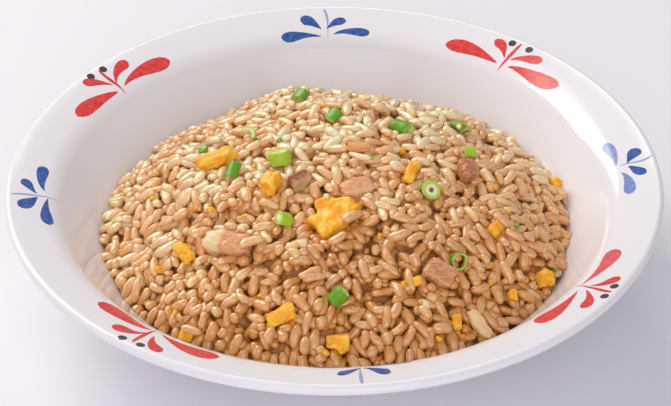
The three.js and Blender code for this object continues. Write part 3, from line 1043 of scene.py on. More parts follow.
@dataclass
class Sheet(Bit):
    """A torn sheet of egg with an outline of its own."""

    thickness: float = 4.0
    outline: tuple[tuple[float, float], ...] = ()

    def shape(self) -> bpy.types.Object:
        """Fills the outline, gives it depth and rounds and crumples it."""
        Bench.clear()
        bpy.ops.mesh.primitive_circle_add(vertices=len(self.outline), radius=MM)
        piece = Bench.named(self.node + "_bit")
        corners = np.array([(x, y, -self.thickness / 2) for x, y in self.outline])
        Bench.move(piece, corners)
        Bench.edit(piece)
        bpy.ops.mesh.edge_face_add()
        bpy.ops.mesh.extrude_region_move(TRANSFORM_OT_translate={"value": (0, 0, self.thickness * MM)})
        bpy.ops.mesh.select_all(action="SELECT")
        bpy.ops.mesh.normals_make_consistent(inside=False)
        bpy.ops.object.mode_set(mode="OBJECT")
        Bench.modify(piece, "REMESH", mode="VOXEL", voxel_size=0.35 * MM)
        Bench.modify(piece, "SMOOTH", factor=0.8, iterations=24)
        points = Bench.points(piece)
        broad = wrinkle(points, 4.6, self.seed + 3)
        ridges = 1 - np.abs(wrinkle(points, 2.6, self.seed + 13, 2)) * 2
        fine = wrinkle(points, 0.9, self.seed + 23, 2)
        upper = points[:, 2] > 0
        points[:, 2] += upper * (broad * 1.9 + ridges * 0.25) + fine * 0.1
        points[:, :2] += (wrinkle(points, 2.6, self.seed + 33) * 0.3)[:, None]
        Bench.move(piece, points)
        Bench.modify(piece, "SMOOTH", factor=0.6, iterations=9)
        Bench.mark(piece, "tone", np.clip(-broad * 1.5, 0, 1))
        Bench.smooth(piece)
        return piece


@dataclass
class Tube(Bit):
    """A short cut of a hollow leaf or of a stalk with rings, along its own X axis."""

    diameter: float = 6.0
    length: float = 5.0
    wall: float = 0.8
    press: float = 1.0

    def rings(self) -> Array:
        """The wall's section from its outer to its inner side and back, with grooves at both cuts."""
        outer, inner, half = self.diameter / 2, self.diameter / 2 - self.wall, self.length / 2
        count = max(1, round(self.wall / 0.75))
        right = [(outer, half - 0.15), (outer - 0.15, half)]
        for k in range(1, count):
            middle = outer - self.wall * k / count
            right += [(middle + 0.14, half), (middle, half - 0.35), (middle - 0.14, half)]
        right += [(inner + 0.12, half), (inner, half - 0.15)]
        left = [(radius, -x) for radius, x in reversed(right)]
        steps = np.linspace(0, 1, 8)[1:-1]
        inside = [(inner, (half - 0.15) * (1 - 2 * t)) for t in steps]
        outside = [(outer, (half - 0.15) * (2 * t - 1)) for t in steps]
        return np.array(right + inside + left + outside)

    def shape(self) -> bpy.types.Object:
        """Spins the wall's section round the length and makes it uneven."""
        section = self.rings()
        sides = 40
        angle = np.linspace(0, math.tau, sides, endpoint=False)
        radius, along = section[:, 0][:, None], section[:, 1][:, None]
        wave = 1 + 0.04 * np.sin(2 * angle + self.seed) + 0.025 * np.sin(3 * angle + 2 * self.seed)
        across = radius * wave * np.cos(angle)
        up = radius * wave * np.sin(angle) * self.press
        points = np.stack([along + 0 * angle, across, up], axis=2).reshape(-1, 3)
        faces = []
        rows = len(section)
        for i in range(rows):
            for j in range(sides):
                a, b = i * sides + j, ((i + 1) % rows) * sides + j
                c, d = ((i + 1) % rows) * sides + (j + 1) % sides, i * sides + (j + 1) % sides
                faces.append((a, b, c, d))
        piece = Bench.mesh(self.node + "_bit", points, faces)
        skew = wrinkle(points, 3.0, self.seed + 5)
        points[:, 0] += 0.35 * wrinkle(points * (0, 1, 1), 2.5, self.seed + 9)
        points[:, 1:] *= (1 + 0.08 * skew)[:, None]
        Bench.move(piece, points)
        depth = np.repeat((self.diameter / 2 - section[:, 0]) / max(self.wall, 0.1), sides)
        Bench.mark(piece, "tone", np.clip(depth * 1.5 - 0.15, 0, 1))
        Bench.smooth(piece, 50)
        return piece


@dataclass
class Strip(Bit):
    """A piece split off such a tube along its X axis: its arc opens downwards."""

    radius: float = 3.0
    span: float = 160.0
    length: float = 5.0
    wall: float = 1.0

    def shape(self) -> bpy.types.Object:
        """Bends a slab round the arc."""
        around, along, thick = 24, 14, 4
        angle = np.radians(np.linspace(90 - self.span / 2, 90 + self.span / 2, around))
        x = np.linspace(-self.length / 2, self.length / 2, along)
        depth = np.linspace(0, self.wall, thick)
        grid = np.array(
            [
                (px, (self.radius - d) * math.cos(a), (self.radius - d) * math.sin(a) - self.radius * 0.6)
                for px in x
                for a in angle
                for d in depth
            ]
        )
        solid = Lattice(along, around, thick)
        points, faces, kept = solid.skin(grid)
        piece = Bench.mesh(self.node + "_bit", points, faces)
        points[:, 0] += 0.4 * wrinkle(points * (0, 1, 1), 2.2, self.seed + 9)
        points += 0.12 * wrinkle(points, 1.6, self.seed + 2)[:, None]
        Bench.move(piece, points)
        Bench.modify(piece, "SMOOTH", factor=0.4, iterations=2)
        Bench.mark(piece, "tone", (kept % thick) / (thick - 1))
        Bench.smooth(piece, 60)
        return piece


@dataclass(frozen=True)
class Lattice:
    """A block of points, of which only the skin is kept."""

    rows: int
    columns: int
    layers: int

    def skin(self, grid: Array) -> tuple[Array, list, Array]:
        """Keeps the outer points of the block.

        Args:
            grid: All points, row by row, then column by column, then layer by layer.

        Returns:
            The outer points, the faces between them and their numbers in the block.
        """
        shape = (self.rows, self.columns, self.layers)
        number = np.arange(np.prod(shape)).reshape(shape)
        faces = []
        for axis in range(3):
            for side in (0, -1):
                sheet = np.take(number, side, axis=axis)
                a, b, c, d = sheet[:-1, :-1], sheet[1:, :-1], sheet[1:, 1:], sheet[:-1, 1:]
                faces.append(np.stack([a, b, c, d], axis=-1).reshape(-1, 4))
        quads = np.vstack(faces)
        kept, flat = np.unique(quads, return_inverse=True)
        return grid[kept].copy(), flat.reshape(-1, 4).tolist(), kept


def egg(node: str, x: float, y: float, heading: float, size: tuple, seed: int, **more: float) -> Lump:
    """A curd of egg."""
    keys = {k: more.pop(k) for k in ("pitch", "roll", "lift") if k in more}
    return Lump(node, Place(x, y, heading, **keys), Finish.EGG, seed, size, curl=0.045, **more)


def pork(node: str, x: float, y: float, heading: float, size: tuple, seed: int, **more: object) -> Lump:
    """A cut of pork."""
    keys = {k: more.pop(k) for k in ("pitch", "roll", "lift") if k in more}
    return Lump(node, Place(x, y, heading, **keys), Finish.PORK, seed, size, fold=0.1, curl=0.03, **more)


SIDE = (0.0, -1.0, 0.0)

BITS: tuple[Bit, ...] = (
    Sheet(
        "egg_sheet",
        Place(0.1, -32.8, 0, pitch=6, lift=-0.4),
        Finish.EGG,
        1,
        4.6,
        (
            (-9.4, -1.4), (-6.2, -3.7), (-5.5, -6.1), (-3.8, -8.7), (-1.6, -7.6), (3, -4.6), (7.6, 0.9),
            (9.3, 4), (6.4, 5.9), (1.5, 7.8), (-4.2, 8.2), (-7, 6.1), (-5.1, 1.7), (-8.5, 0),
        ),
    ),
    Sheet(
        "egg_flap",
        Place(1.2, -73.9, 0, pitch=4),
        Finish.EGG,
        2,
        3.6,
        ((-3.8, 2.6), (-3.4, -2), (-0.4, -2), (1, -4.4), (4, -2.6), (3.8, 3.4)),
    ),
    egg("egg_01", -41.1, 3.7, 18, (17, 8, 6), 1, block=0.6),
    egg("egg_02", -21.3, -19.2, 60, (10, 8.4, 7.6), 2, lift=1.4),
    egg("egg_03", 26.3, -12.8, 74, (10.4, 5.6, 5.6), 3, pitch=12, lift=0.8),
    egg("egg_04", -51.1, -36.7, -67, (12.6, 6, 5.6), 4, fold=0.24),
    egg("egg_05", -17.4, -66.3, 24, (13, 7.4, 4.6), 5, block=0.6, pitch=20),
    egg("egg_06", 55, -27.8, 60, (7, 6, 5), 6, lift=-0.6),
    egg("egg_07", 72.2, -36.7, -60, (8.6, 7.4, 6.6), 7, fold=0.24),
    egg("egg_08", 41, -63.8, -75, (7, 4.4, 4), 8),
    egg("egg_09", 79.2, 17.5, -20, (5.4, 5, 4.6), 9, lift=0.8),
    egg("egg_10", -49, -63.6, -30, (7.4, 6.4, 4.4), 10),
    egg("egg_11", 60.5, -47.8, -80, (5.6, 4.4, 4), 11),
    Lump(
        "onion_01", Place(48.5, -61.5, -44, lift=0.4), Finish.ONION, 21, (12.4, 5, 3.6), 0.2, 0.16, 0.02
    ),
    Lump("crust_01", Place(8.7, -2.8, 3, lift=0.2), Finish.CRUST, 22, (9, 3.6, 3.8), 0.5, 0.1, 0.05),
    pork(
        "pork_01", -11.9, -18.2, 38, (9, 5, 6.4), 31,
        block=0.8, dark=0.85, fat=(0.35, 1.5), fat_way=SIDE,
    ),
    pork(
        "pork_02", 7.9, -21.1, 20, (13, 8.4, 5.6), 32,
        block=0.35, dark=0.12, fat=(0.3, 1.5), fat_way=SIDE,
    ),
    pork("pork_03", 46.3, -3, -75, (10, 7, 6.4), 33, block=0.3, lift=0.6, dark=0.55),
    pork(
        "pork_04", -35.9, -39.7, -22, (19, 9.4, 8), 34,
        block=0.4, lift=0.6, dark=0.15, fat=(-0.05, -0.3),
    ),
    pork("pork_05", 35.5, -50.6, -28, (12, 9, 6.6), 35, block=0.9, lift=0.4, dark=0.3),
    Tube("stalk_01", Place(-18.4, -3.5, 95, 66, lift=1.2), Finish.STALK, 1, 7.5, 4.6, 2.6),
    Tube("stalk_02", Place(32.8, -17.8, -88, 45, lift=0.9), Finish.STALK, 2, 6.6, 3, 2.4),
    Strip("stalk_03", Place(-29.2, 15.5, -85, 40, -50, 1), Finish.STALK, 3, 3, 170, 3.4, 1.3),
    Tube("stalk_04", Place(-16.8, -32.9, 196, 46, lift=0.8), Finish.STALK, 4, 5.4, 5, 2.6, 0.7),
    Strip("leaf_02", Place(-35.3, -6.7, 73, 20, lift=0.7), Finish.LEAF, 5, 2.5, 170, 6.4, 0.8),
    Tube("leaf_03", Place(-11.9, 42, 50, 30, lift=2.4), Finish.LEAF, 6, 7, 4.2, 0.8, 0.6),
    Tube("leaf_04", Place(-0.2, 19.5, 48, 18, lift=0.8), Finish.LEAF, 7, 5, 4.6, 0.8, 0.5),
    Tube("leaf_05", Place(23.8, 16.7, -38, 8, lift=0.9), Finish.LEAF, 8, 6.2, 6, 0.8, 0.8),
    Tube("leaf_06", Place(44.5, 28.3, -78, 26, lift=0.8), Finish.LEAF, 9, 5.4, 6, 0.8, 0.6),
    Strip("leaf_07", Place(47.1, 7.1, 22, lift=0.6), Finish.STALK, 10, 2.6, 150, 4.4, 0.9),
    Tube("leaf_08", Place(1.5, -61.7, 46, 24, lift=1.2), Finish.LEAF, 11, 5.6, 5.2, 0.7),
    Tube("leaf_09", Place(41.8, -44.6, -84, 58, lift=0.4), Finish.LEAF, 12, 6.2, 2.4, 0.7),
)


@dataclass
class Ground:
    """The height of what lies there already, over an even square grid."""

    reach: float = 94.0
    pitch: float = 0.5
    height: Array = field(init=False)

    def __post_init__(self) -> None:
        self.count = int(round(2 * self.reach / self.pitch)) + 1
        self.line = np.linspace(-self.reach, self.reach, self.count)
        self.x, self.y = np.meshgrid(self.line, self.line, indexing="ij")
        self.height = np.full_like(self.x, -100.0)
        self.ceiling = np.full_like(self.x, np.inf)
        self.roof = np.full_like(self.x, -100.0)

    def cell(self, values: Array) -> Array:
        """The nearest row or column number of coordinates."""
        return np.clip(np.rint((values + self.reach) / self.pitch).astype(int), 0, self.count - 1)

    def cover(self, piece: bpy.types.Object, margin: float = 0.35) -> None:
        """Notes where a bit lies: its underside is a ceiling and its upper side a roof."""
        tree = BVHTree.FromObject(piece, bpy.context.evaluated_depsgraph_get())
        points = Bench.points(piece)
        low, high = points.min(0) - margin, points.max(0) + margin
        rows = range(self.cell(low[0]), self.cell(high[0]) + 1)
        columns = range(self.cell(low[1]), self.cell(high[1]) + 1)
        for i in rows:
            for j in columns:
                x, y = self.line[i] * MM, self.line[j] * MM
                under = tree.ray_cast(Vector((x, y, 0)), Vector((0, 0, 1)))[0]
                if under is None:
                    continue
                over = tree.ray_cast(Vector((x, y, 0.2)), Vector((0, 0, -1)))[0]
                near = (slice(max(i - 1, 0), i + 2), slice(max(j - 1, 0), j + 2))
                self.ceiling[near] = np.minimum(self.ceiling[near], under.z / MM)
                self.roof[i, j] = max(self.roof[i, j], over.z / MM)


@dataclass
class GrainSet:
    """All grains of the heap as arrays, one row each."""

    centre: list = field(default_factory=list)
    heading: list = field(default_factory=list)
    slope: list = field(default_factory=list)
    size: list = field(default_factory=list)

    def add(self, centre: Array, heading: float, slope: float, size: Array) -> None:
        """Keeps one grain."""
        self.centre.append(centre)
        self.heading.append(heading)
        self.slope.append(slope)
        self.size.append(size)


@dataclass
class Pile:
    """Drops grains one by one on what lies there, always into the lowest gap that it finds."""

    form: HeapForm
    ground: Ground
    seed: int = 5
    tries: int = 12
    length: tuple[float, float] = (6.7, 9.2)
    width: tuple[float, float] = (3.2, 4.4)
    broken: float = 0.12
    sink: float = 0.42  # share of its thickness that a grain sinks into what it lies on
    over: float = 2.0  # how far a grain may stand over the dome
    past: float = 1.3  # how far it may stand over the height that it is meant to fill
    under: float = 1.3  # how far a grain may rise into a bit that lies on it
    stand: float = 40.0  # degrees that a grain may stand up from the dome
    below: float = 0.8  # how far the filled height lies under the dome
    luck: float = 1.2  # how much a worse gap may be taken for the lowest
    beyond: float = 0.4  # how far past the dome's radius a grain may lie
    patience: int = 400  # draws without a fit after which the heap is full
    ends: float = 2.6  # how blunt a grain is taken to be, more is blunter
    hold: tuple[int, float] = (6, 1.2)  # cells round a bit where crevices stay less deep than this
    lie: tuple[float, float] = (30.0, 80.0)  # degrees of the commonest heading, and the spread round it

    def __post_init__(self) -> None:
        self.random = np.random.default_rng(self.seed)
        self.along = np.linspace(-0.45, 0.45, 9)
        self.sides = np.array([-0.85, -0.45, 0.0, 0.45, 0.85])
        self.round = (1 - np.abs(2 * self.along) ** self.ends) ** 0.5
        self.grains = GrainSet()
        grid = self.ground
        held = np.isfinite(grid.ceiling)
        cells, deepest = self.hold
        for _ in range(cells):
            held = held | np.roll(held, 1, 0) | np.roll(held, -1, 0)
            held = held | np.roll(held, 1, 1) | np.roll(held, -1, 1)
        clumps = self.form.clumps(grid.x, grid.y)
        clumps = np.where(held, np.maximum(clumps, -deepest), clumps)
        self.target = self.form.height(grid.x, grid.y) + clumps - self.below

    def sizes(self, count: int, share: float = 1.0) -> Array:
        """Draws length, width and thickness of some grains, their lengths cut to a share."""
        length = self.random.uniform(*self.length, count) * share
        short = self.random.random(count) < self.broken
        length[short] *= self.random.uniform(0.45, 0.75, short.sum())
        width = self.random.uniform(*self.width, count)
        return np.stack([length, width, width * self.random.uniform(0.75, 0.92, count)], axis=1)

    def rest(self, x: Array, y: Array, heading: Array, size: Array) -> tuple[Array, ...]:
        """Finds how grains would come to rest.

        Args:
            x: Places of their middles.
            y: Places of their middles.
            heading: The way that their lengths point.
            size: Their length, width and thickness.

        Returns:
            Height of the middle, slope, the highest point over the dome, and whether it lies free
            of the bits above and flat enough.
        """
        grid = self.ground
        cos, sin = np.cos(heading), np.sin(heading)
        step = 1.5
        ahead = self.form.height(x + cos * step, y + sin * step)
        behind = self.form.height(x - cos * step, y - sin * step)
        fall = np.arctan((ahead - behind) / (2 * step))
        lean = np.cos(fall)
        s = self.along[None, :] * (size[:, 0] * lean)[:, None]
        half = self.round[None, :] * size[:, 1][:, None] / 2
        d = self.sides[None, None, :] * half[:, :, None]
        px = x[:, None, None] + s[:, :, None] * cos[:, None, None] - d * sin[:, None, None]
        py = y[:, None, None] + s[:, :, None] * sin[:, None, None] + d * cos[:, None, None]
        i, j = grid.cell(px), grid.cell(py)
        thick = self.round[None, :, None] * size[:, 2][:, None, None] / 2
        dome = thick * np.sqrt(1 - self.sides[None, None, :] ** 2)
        need = (grid.height[i, j] + dome).max(2)
        middle = need[:, 4].copy()
        best = np.zeros_like(middle)
        for a in range(4):
            for b in range(5, 9):
                left, right = s[:, a], s[:, b]
                tilt = (need[:, b] - need[:, a]) / (right - left)
                height = need[:, a] - tilt * left
                higher = height > middle
                middle = np.where(higher, height, middle)
                best = np.where(higher, tilt, best)
        flat = best == 0
        if flat.any():
            # it balances on its middle: it leans as the ground under its ends does
            lean_on = (need[:, 8] - need[:, 0]) / (s[:, 8] - s[:, 0])
            room = np.minimum(
                ((middle[:, None] - need[:, 5:]) / s[:, 5:]).min(1),
                ((middle[:, None] - need[:, :4]) / -s[:, :4]).min(1),
            )
            best = np.where(flat, np.clip(lean_on, -np.maximum(room, 0), np.maximum(room, 0)), best)
        middle = middle - self.sink * size[:, 2]
        line = middle[:, None] + best[:, None] * s
        top = line[:, :, None] + dome
        excess = (top - self.form.height(px, py)).max((1, 2))
        free = (top < grid.ceiling[i, j] + self.under).all((1, 2))
        flat_enough = np.abs(np.arctan(best) - fall) < math.radians(self.stand)
        return middle, best, excess, free & flat_enough

    def press(self, centre: Array, heading: float, slope: float, size: Array) -> None:
        """Raises the ground by a grain that came to rest."""
        grid = self.ground
        reach = size[0] / 2 + 0.6
        rows = slice(grid.cell(centre[0] - reach), grid.cell(centre[0] + reach) + 1)
        columns = slice(grid.cell(centre[1] - reach), grid.cell(centre[1] + reach) + 1)
        dx, dy = grid.x[rows, columns] - centre[0], grid.y[rows, columns] - centre[1]
        cos, sin = math.cos(heading), math.sin(heading)
        s, d = dx * cos + dy * sin, dy * cos - dx * sin
        lean = math.cos(math.atan(slope))
        share = np.clip(np.abs(2 * s / (size[0] * lean)), 0, 1)
        half = (1 - share**self.ends) ** 0.5
        inside = np.clip(1 - (2 * d / (size[1] * half + 1e-6)) ** 2, 0, None)
        top = centre[2] + slope * s + half * size[2] / 2 * np.sqrt(inside) / lean
        patch = grid.height[rows, columns]
        np.maximum(patch, np.where(inside > 0, top, -100), out=patch)

    def drop(self, most: int, share: float = 1.0) -> int:
        """Drops grains until the heap is full.

        Args:
            most: The most grains that the heap has after it.
            share: The share of a whole grain's length that they have.

        Returns:
            How many the heap has.
        """
        grid = self.ground
        ok = np.hypot(grid.x - self.form.x, grid.y - self.form.y) < self.form.radius + self.beyond
        cells = np.flatnonzero(ok)
        failed = 0
        while len(self.grains.centre) < most and failed < self.patience:
            draw = self.random.choice(cells, self.tries * 4)
            gap = self.target.ravel()[draw] - grid.height.ravel()[draw]
            draw = draw[np.argsort(-gap)[: self.tries]]
            x, y = grid.x.ravel()[draw], grid.y.ravel()[draw]
            heading = np.radians(self.random.normal(*self.lie, self.tries)) % math.pi
            size = self.sizes(self.tries, share)
            height, slope, excess, free = self.rest(x, y, heading, size)
            goal = self.target.ravel()[draw]
            room = goal - height - size[:, 2] / 2
            fits = free & (excess < self.over) & (room > -self.past)
            if not fits.any():
                failed += 1
                continue
            failed = 0
            luck = self.random.uniform(0, self.luck, self.tries)
            k = int(np.argmax(np.where(fits, room + luck, -100)))
            centre = np.array([x[k], y[k], height[k]])
            self.grains.add(centre, heading[k], slope[k], size[k])
            self.press(centre, heading[k], slope[k], size[k])
        return len(self.grains.centre)

    def lay(self, places: Sequence[tuple[float, float, float]]) -> None:
        """Lays single long grains over the bits, at (x, y, heading)."""
        shortest, steepest, rise = 7.2, 1.2, 0.25
        grid = self.ground
        grid.height = np.maximum(grid.height, grid.roof)
        grid.ceiling[:] = np.inf
        for x, y, heading in places:
            turn = np.array([math.radians(heading)])
            size = self.sizes(1)
            size[:, 0] = np.maximum(size[:, 0], shortest)
            height, slope, _, _ = self.rest(np.array([x]), np.array([y]), turn, size)
            centre = np.array([x, y, height[0] + rise * size[0, 2]])
            self.grains.add(centre, turn[0], float(np.clip(slope[0], -steepest, steepest)), size[0])
            self.press(centre, turn[0], slope[0], size[0])


@dataclass(frozen=True)
class GrainForm:
    """How a ball along X is shaped into grains that are all a little different."""

    blunt: tuple[float, float] = (2.4, 4.2)
    taper: float = 0.16
    ridge: float = 0.08
    dent: float = 0.085
    cut_share: float = 0.16  # of the grains, which have one end cut off
    cut: tuple[float, float] = (0.62, 0.85)
    bend: float = 0.42
    sag: tuple[float, float] = (-0.1, 0.3)
    roll: float = 0.5
    usual_length: float = 7.5


@dataclass
class RiceHeap:
    """The rice: a core in the heap's form, sauced and painted dark as the shade in the gaps, with loose
    grains all over it.
    """

    form: HeapForm
    plate: PlateForm
    pile: Pile
    depth: float = 6.6
    most: int = 6900
    skin: float = 0.3  # that the core keeps over the plate where there is little rice
    cover: float = 2.4  # the least rice over the plate that hides the core's edge
    reach: tuple[float, float] = (60.0, 82.4)
    rings: int = 70
    steps: int = 240
    painted_shade_span: float = 3.2
    painted_shade_depth: tuple[float, float] = (0.7, 2.9)  # where the painted shade in the gaps starts, and over how much depth it grows
    painted_shade_share: tuple[float, float] = (0.52, 0.4)  # how much the painted shade darkens them, and how much more in front
    shade_length: float = 60.0
    # how much sauce and painted shade grains took: at the back, more in front, in patches and at random
    sauce_and_front_shade: tuple[float, float, float, float] = (0.16, 0.48, 0.3, 0.1)
    grain: GrainForm = GrainForm()

    def core_height(self, x: Array, y: Array) -> Array:
        """The core's top: the dome, lowered, and never under the plate's upper side."""
        well = self.plate.height(np.hypot(x, y)) + self.skin
        return np.maximum(self.form.height(x, y) + self.form.clumps(x, y) - self.depth, well)

    def core_reach(self, angle: Array) -> Array:
        """How far out the core goes at each angle: as far as the grains still cover it."""
        radius = np.linspace(*self.reach, 57)[:, None]
        x, y = radius * np.cos(angle), radius * np.sin(angle)
        covered = self.form.height(x, y) - self.cover > self.plate.height(radius)
        last = np.cumprod(covered, axis=0).sum(0) - 1
        return radius[np.maximum(last, 0), 0]

    def build_core(self) -> bpy.types.Object:
        """Lays rings of points on the core's top and on its underside and closes them into a solid."""
        rings, steps = self.rings, self.steps
        angle = np.linspace(0, math.tau, steps, endpoint=False)
        outer = np.linspace(0, 1, rings)[1:, None] * self.core_reach(angle)
        x, y = outer * np.cos(angle), outer * np.sin(angle)
        x, y = np.append(0.0, x.ravel()), np.append(0.0, y.ravel())
        top = self.core_height(x, y)
        bumps = np.array(
            [noise.cell_vector(Vector((px / 3.1, py / 3.1, 0)))[2] for px, py in zip(x, y)]
        )
        ripple = np.array([noise.noise(Vector((px / 2.4, py / 2.4, 4.2))) for px, py in zip(x, y)])
        well = self.plate.height(np.hypot(x, y)) + self.skin
        top = np.maximum(top + ripple * 0.9 + bumps * 0.25 - 0.2, well)
        points = np.vstack([np.stack([x, y, top], 1), np.stack([x, y, well - 0.02], 1)])
        count = len(x)
        faces = []
        for layer, flip in ((0, False), (count, True)):
            for j in range(steps):
                a, b = 1 + j, 1 + (j + 1) % steps
                face = (layer, layer + a, layer + b)
                faces.append(face[::-1] if flip else face)
            for i in range(rings - 2):
                for j in range(steps):
                    a, b = 1 + i * steps + j, 1 + i * steps + (j + 1) % steps
                    face = (layer + a, layer + a + steps, layer + b + steps, layer + b)
                    faces.append(face[::-1] if flip else face)
        last = 1 + (rings - 2) * steps
        for j in range(steps):
            a, b = last + j, last + (j + 1) % steps
            faces.append((a, a + count, b + count, b))
        piece = Bench.mesh("rice_core", points, faces)
        Bench.outward(piece)
        Bench.smooth(piece)
        return piece

    def unit_grain(self) -> tuple[Array, list]:
        """A ball along X with few faces, which every grain is shaped from."""
        Bench.clear()
        bpy.ops.mesh.primitive_uv_sphere_add(segments=8, ring_count=8, radius=MM)
        ball = Bench.named("grain_ball")
        Bench.edit(ball)
        bpy.ops.transform.rotate(value=math.pi / 2, orient_axis="Y", center_override=(0, 0, 0))
        bpy.ops.object.mode_set(mode="OBJECT")
        points = Bench.points(ball)
        faces = [list(p.vertices) for p in ball.data.polygons]
        bpy.data.objects.remove(ball)
        return points, faces

    def shape_grains(self, unit: Array) -> tuple[Array, Array]:
        """Shapes every grain.

        Args:
            unit: The points of the ball that grains are shaped from.

        Returns:
            The points of all grains, and each grain's tone.
        """
        random = np.random.default_rng(77)
        grains = self.pile.grains
        centre, size = np.array(grains.centre), np.array(grains.size)
        heading, slope = np.array(grains.heading), np.array(grains.slope)
        count = len(centre)
        form = self.grain
        s = unit[:, 0][None, :]
        ring = np.hypot(unit[:, 1], unit[:, 2])
        ring[ring < 1e-6] = 1
        way_y, way_z = unit[:, 1] / ring, unit[:, 2] / ring
        blunt = random.uniform(*form.blunt, count)[:, None]
        reach = np.clip(1 - np.abs(s) ** blunt, 0, 1) ** 0.5
        taper = 1 + random.uniform(-form.taper, form.taper, count)[:, None] * s
        corners = np.cos(3 * np.arctan2(way_z, way_y))[None, :]
        ridge = 1 + random.uniform(-form.ridge, form.ridge, (count, 1)) * corners
        dent = 1 + random.normal(0, form.dent, (count, unit.shape[0]))
        is_cut = random.random(count) < form.cut_share
        cut = np.where(is_cut, random.uniform(*form.cut, count), 1.0)[:, None]
        x = np.minimum(s, cut) * size[:, :1] / 2
        y = way_y[None, :] * reach * taper * ridge * dent * size[:, 1:2] / 2
        z = way_z[None, :] * reach * taper * ridge * dent * size[:, 2:3] / 2
        crook = random.normal(0, form.bend, count)[:, None]
        bend = crook * (1 - s**2) * (size[:, :1] / form.usual_length)
        sag = random.uniform(*form.sag, count)[:, None] * (1 - s**2)
        roll = random.uniform(-form.roll, form.roll, count)[:, None]
        y, z = y * np.cos(roll) - z * np.sin(roll) + bend, y * np.sin(roll) + z * np.cos(roll) + sag - 0.1
        lean = np.arctan(slope)[:, None]
        turn = heading[:, None]
        flat = x * np.cos(lean) - z * np.sin(lean)
        points = np.stack(
            [
                centre[:, :1] + flat * np.cos(turn) - y * np.sin(turn),
                centre[:, 1:2] + flat * np.sin(turn) + y * np.cos(turn),
                centre[:, 2:] + x * np.sin(lean) + z * np.cos(lean),
            ],
            axis=2,
        )
        front = self.in_front(centre)
        patch = np.array([noise.noise(Vector((c[0] / 14, c[1] / 14, 1.7))) for c in centre])
        least, more, patchy, uneven = self.sauce_and_front_shade
        # the share more in front is partly sauce and partly painted shade on the side away from the key
        # lamp
        tone = least + more * front + patchy * patch + random.normal(0, uneven, count)
        return points, np.clip(tone, 0, 1)

    def in_front(self, points: Array) -> Array:
        """How far points lie towards the front, with more sauce and painted shade: 0 behind, 1 in front.
        """
        return np.clip((-points[..., 1] + 0.3 * points[..., 0]) / self.shade_length, 0, 1)

    def surface(self) -> Array:
        """The heap's smoothed upper surface, which tells how deep a point lies in a gap, for the painted
        shade.
        """
        height = np.maximum(self.pile.ground.height, 0)
        best = height.copy()
        span = int(round(self.painted_shade_span / self.pile.ground.pitch))
        for i in range(-span, span + 1, 2):
            for j in range(-span, span + 1, 2):
                if i * i + j * j <= span * span:
                    best = np.maximum(best, np.roll(height, (i, j), (0, 1)))
        return best

    def build_grains(self) -> list[bpy.types.Object]:
        """Makes one piece for each kind of grain."""
        whole = self.pile.drop(self.most)
        log.info("%d grains, %d with the short ones", whole, self.pile.drop(self.most, 0.6))
        self.pile.lay(OVER_BITS)
        unit, faces = self.unit_grain()
        points, tone = self.shape_grains(unit)
        surface = self.surface()
        grid = self.pile.ground
        # painted shade: points deep under the surface, where shade falls between grains, are darkened,
        # more so in front
        depth = surface[grid.cell(points[:, :, 0]), grid.cell(points[:, :, 1])] - points[:, :, 2]
        (start, span), (least, more) = self.painted_shade_depth, self.painted_shade_share
        deep = np.clip((depth - start) / span, 0, 1) * (least + more * self.in_front(points))
        kind = np.digitize(tone, np.quantile(tone, (0.25, 0.5, 0.75)))
        quads = [np.array(f) for f in faces]
        random = np.random.default_rng(78)
        pieces = []
        for number, name in enumerate(look.name for look in RICE_LOOKS):
            chosen = np.flatnonzero(kind == number)
            flat = points[chosen].reshape(-1, 3)
            sides = [k * len(unit) + face for k in range(len(chosen)) for face in quads]
            piece = Bench.mesh(name, flat, sides)
            uneven = random.normal(0, 0.12, len(flat))
            Bench.mark(piece, "tone", np.repeat(tone[chosen], len(unit)) + uneven)
            Bench.mark(piece, "deep", deep[chosen].ravel())
            Bench.smooth(piece)
            pieces.append(piece)
        return pieces

    def dress(self, core: bpy.types.Object, pieces: Sequence[bpy.types.Object]) -> None:
        """Colours the core and the grains."""
        finish_piece(core, SauceAndShadeCore().material(), ["rice_heap"])
        for piece, look in zip(pieces, RICE_LOOKS):
            finish_piece(piece, look.material(), ["rice_heap"])


# the kinds of grain, from the cleanest to the one that took most sauce and painted front shade
RICE_LOOKS = (
    RiceLook("rice_pale", "ffe7b8", "ffd898"),
    RiceLook("rice_cream", "ffd9a2", "fec987"),
    RiceLook("rice_golden", "f6c98c", "edb573"),
    RiceLook("rice_toasted", "f1c186", "e5a96a"),
)

# x, y and heading of the single grains that lie over bits
OVER_BITS = (
    (1.0, -43.9, 26.0), (6.1, -36.6, 32.0), (-47.5, -64.7, -28.0), (-27.5, -44.2, 20.0),
)

# x, y and size of the crumbs of egg too small for a node
EGG_CRUMBS = (
    (-20.3, 1.5, 4.2), (23.8, 4.7, 3.1), (-59.3, -38.9, 3.1), (27.4, -55.8, 3.8), (23, -56.2, 3.1),
    (-3.3, -77.4, 3.1), (34.8, -71, 2.8), (-44.4, 28, 2.4), (-35.2, 27.3, 2.1), (-27.9, -3, 2.1),
    (-64, -3, 2.4), (-3.7, 28.2, 2.1), (17.2, 36.8, 2.1), (-17.9, 27.1, 2.1), (28.9, 34.8, 2.1),
    (56.2, -5.2, 2.1), (-47.2, -19.1, 2.1), (-41.9, -25.3, 2.1), (-56.1, -23.6, 2.1), (-30.7, -28.2, 2.1),
    (15.4, -38.4, 2.4), (-24.7, -57.8, 2.4), (60.3, -18, 2.1), (52.9, -46.9, 2.4), (-53.5, -56.3, 2.4),
    (42.6, -66.5, 2.4),
)

# x, y and size of the specks of green
GREEN_SPECKS = (
    (-46.1, 10.2, 3.6), (-19.1, 9.5, 2.6), (13, -7.1, 2.0), (62.7, -23.9, 2.4), (75.9, -31.4, 1.6),
)

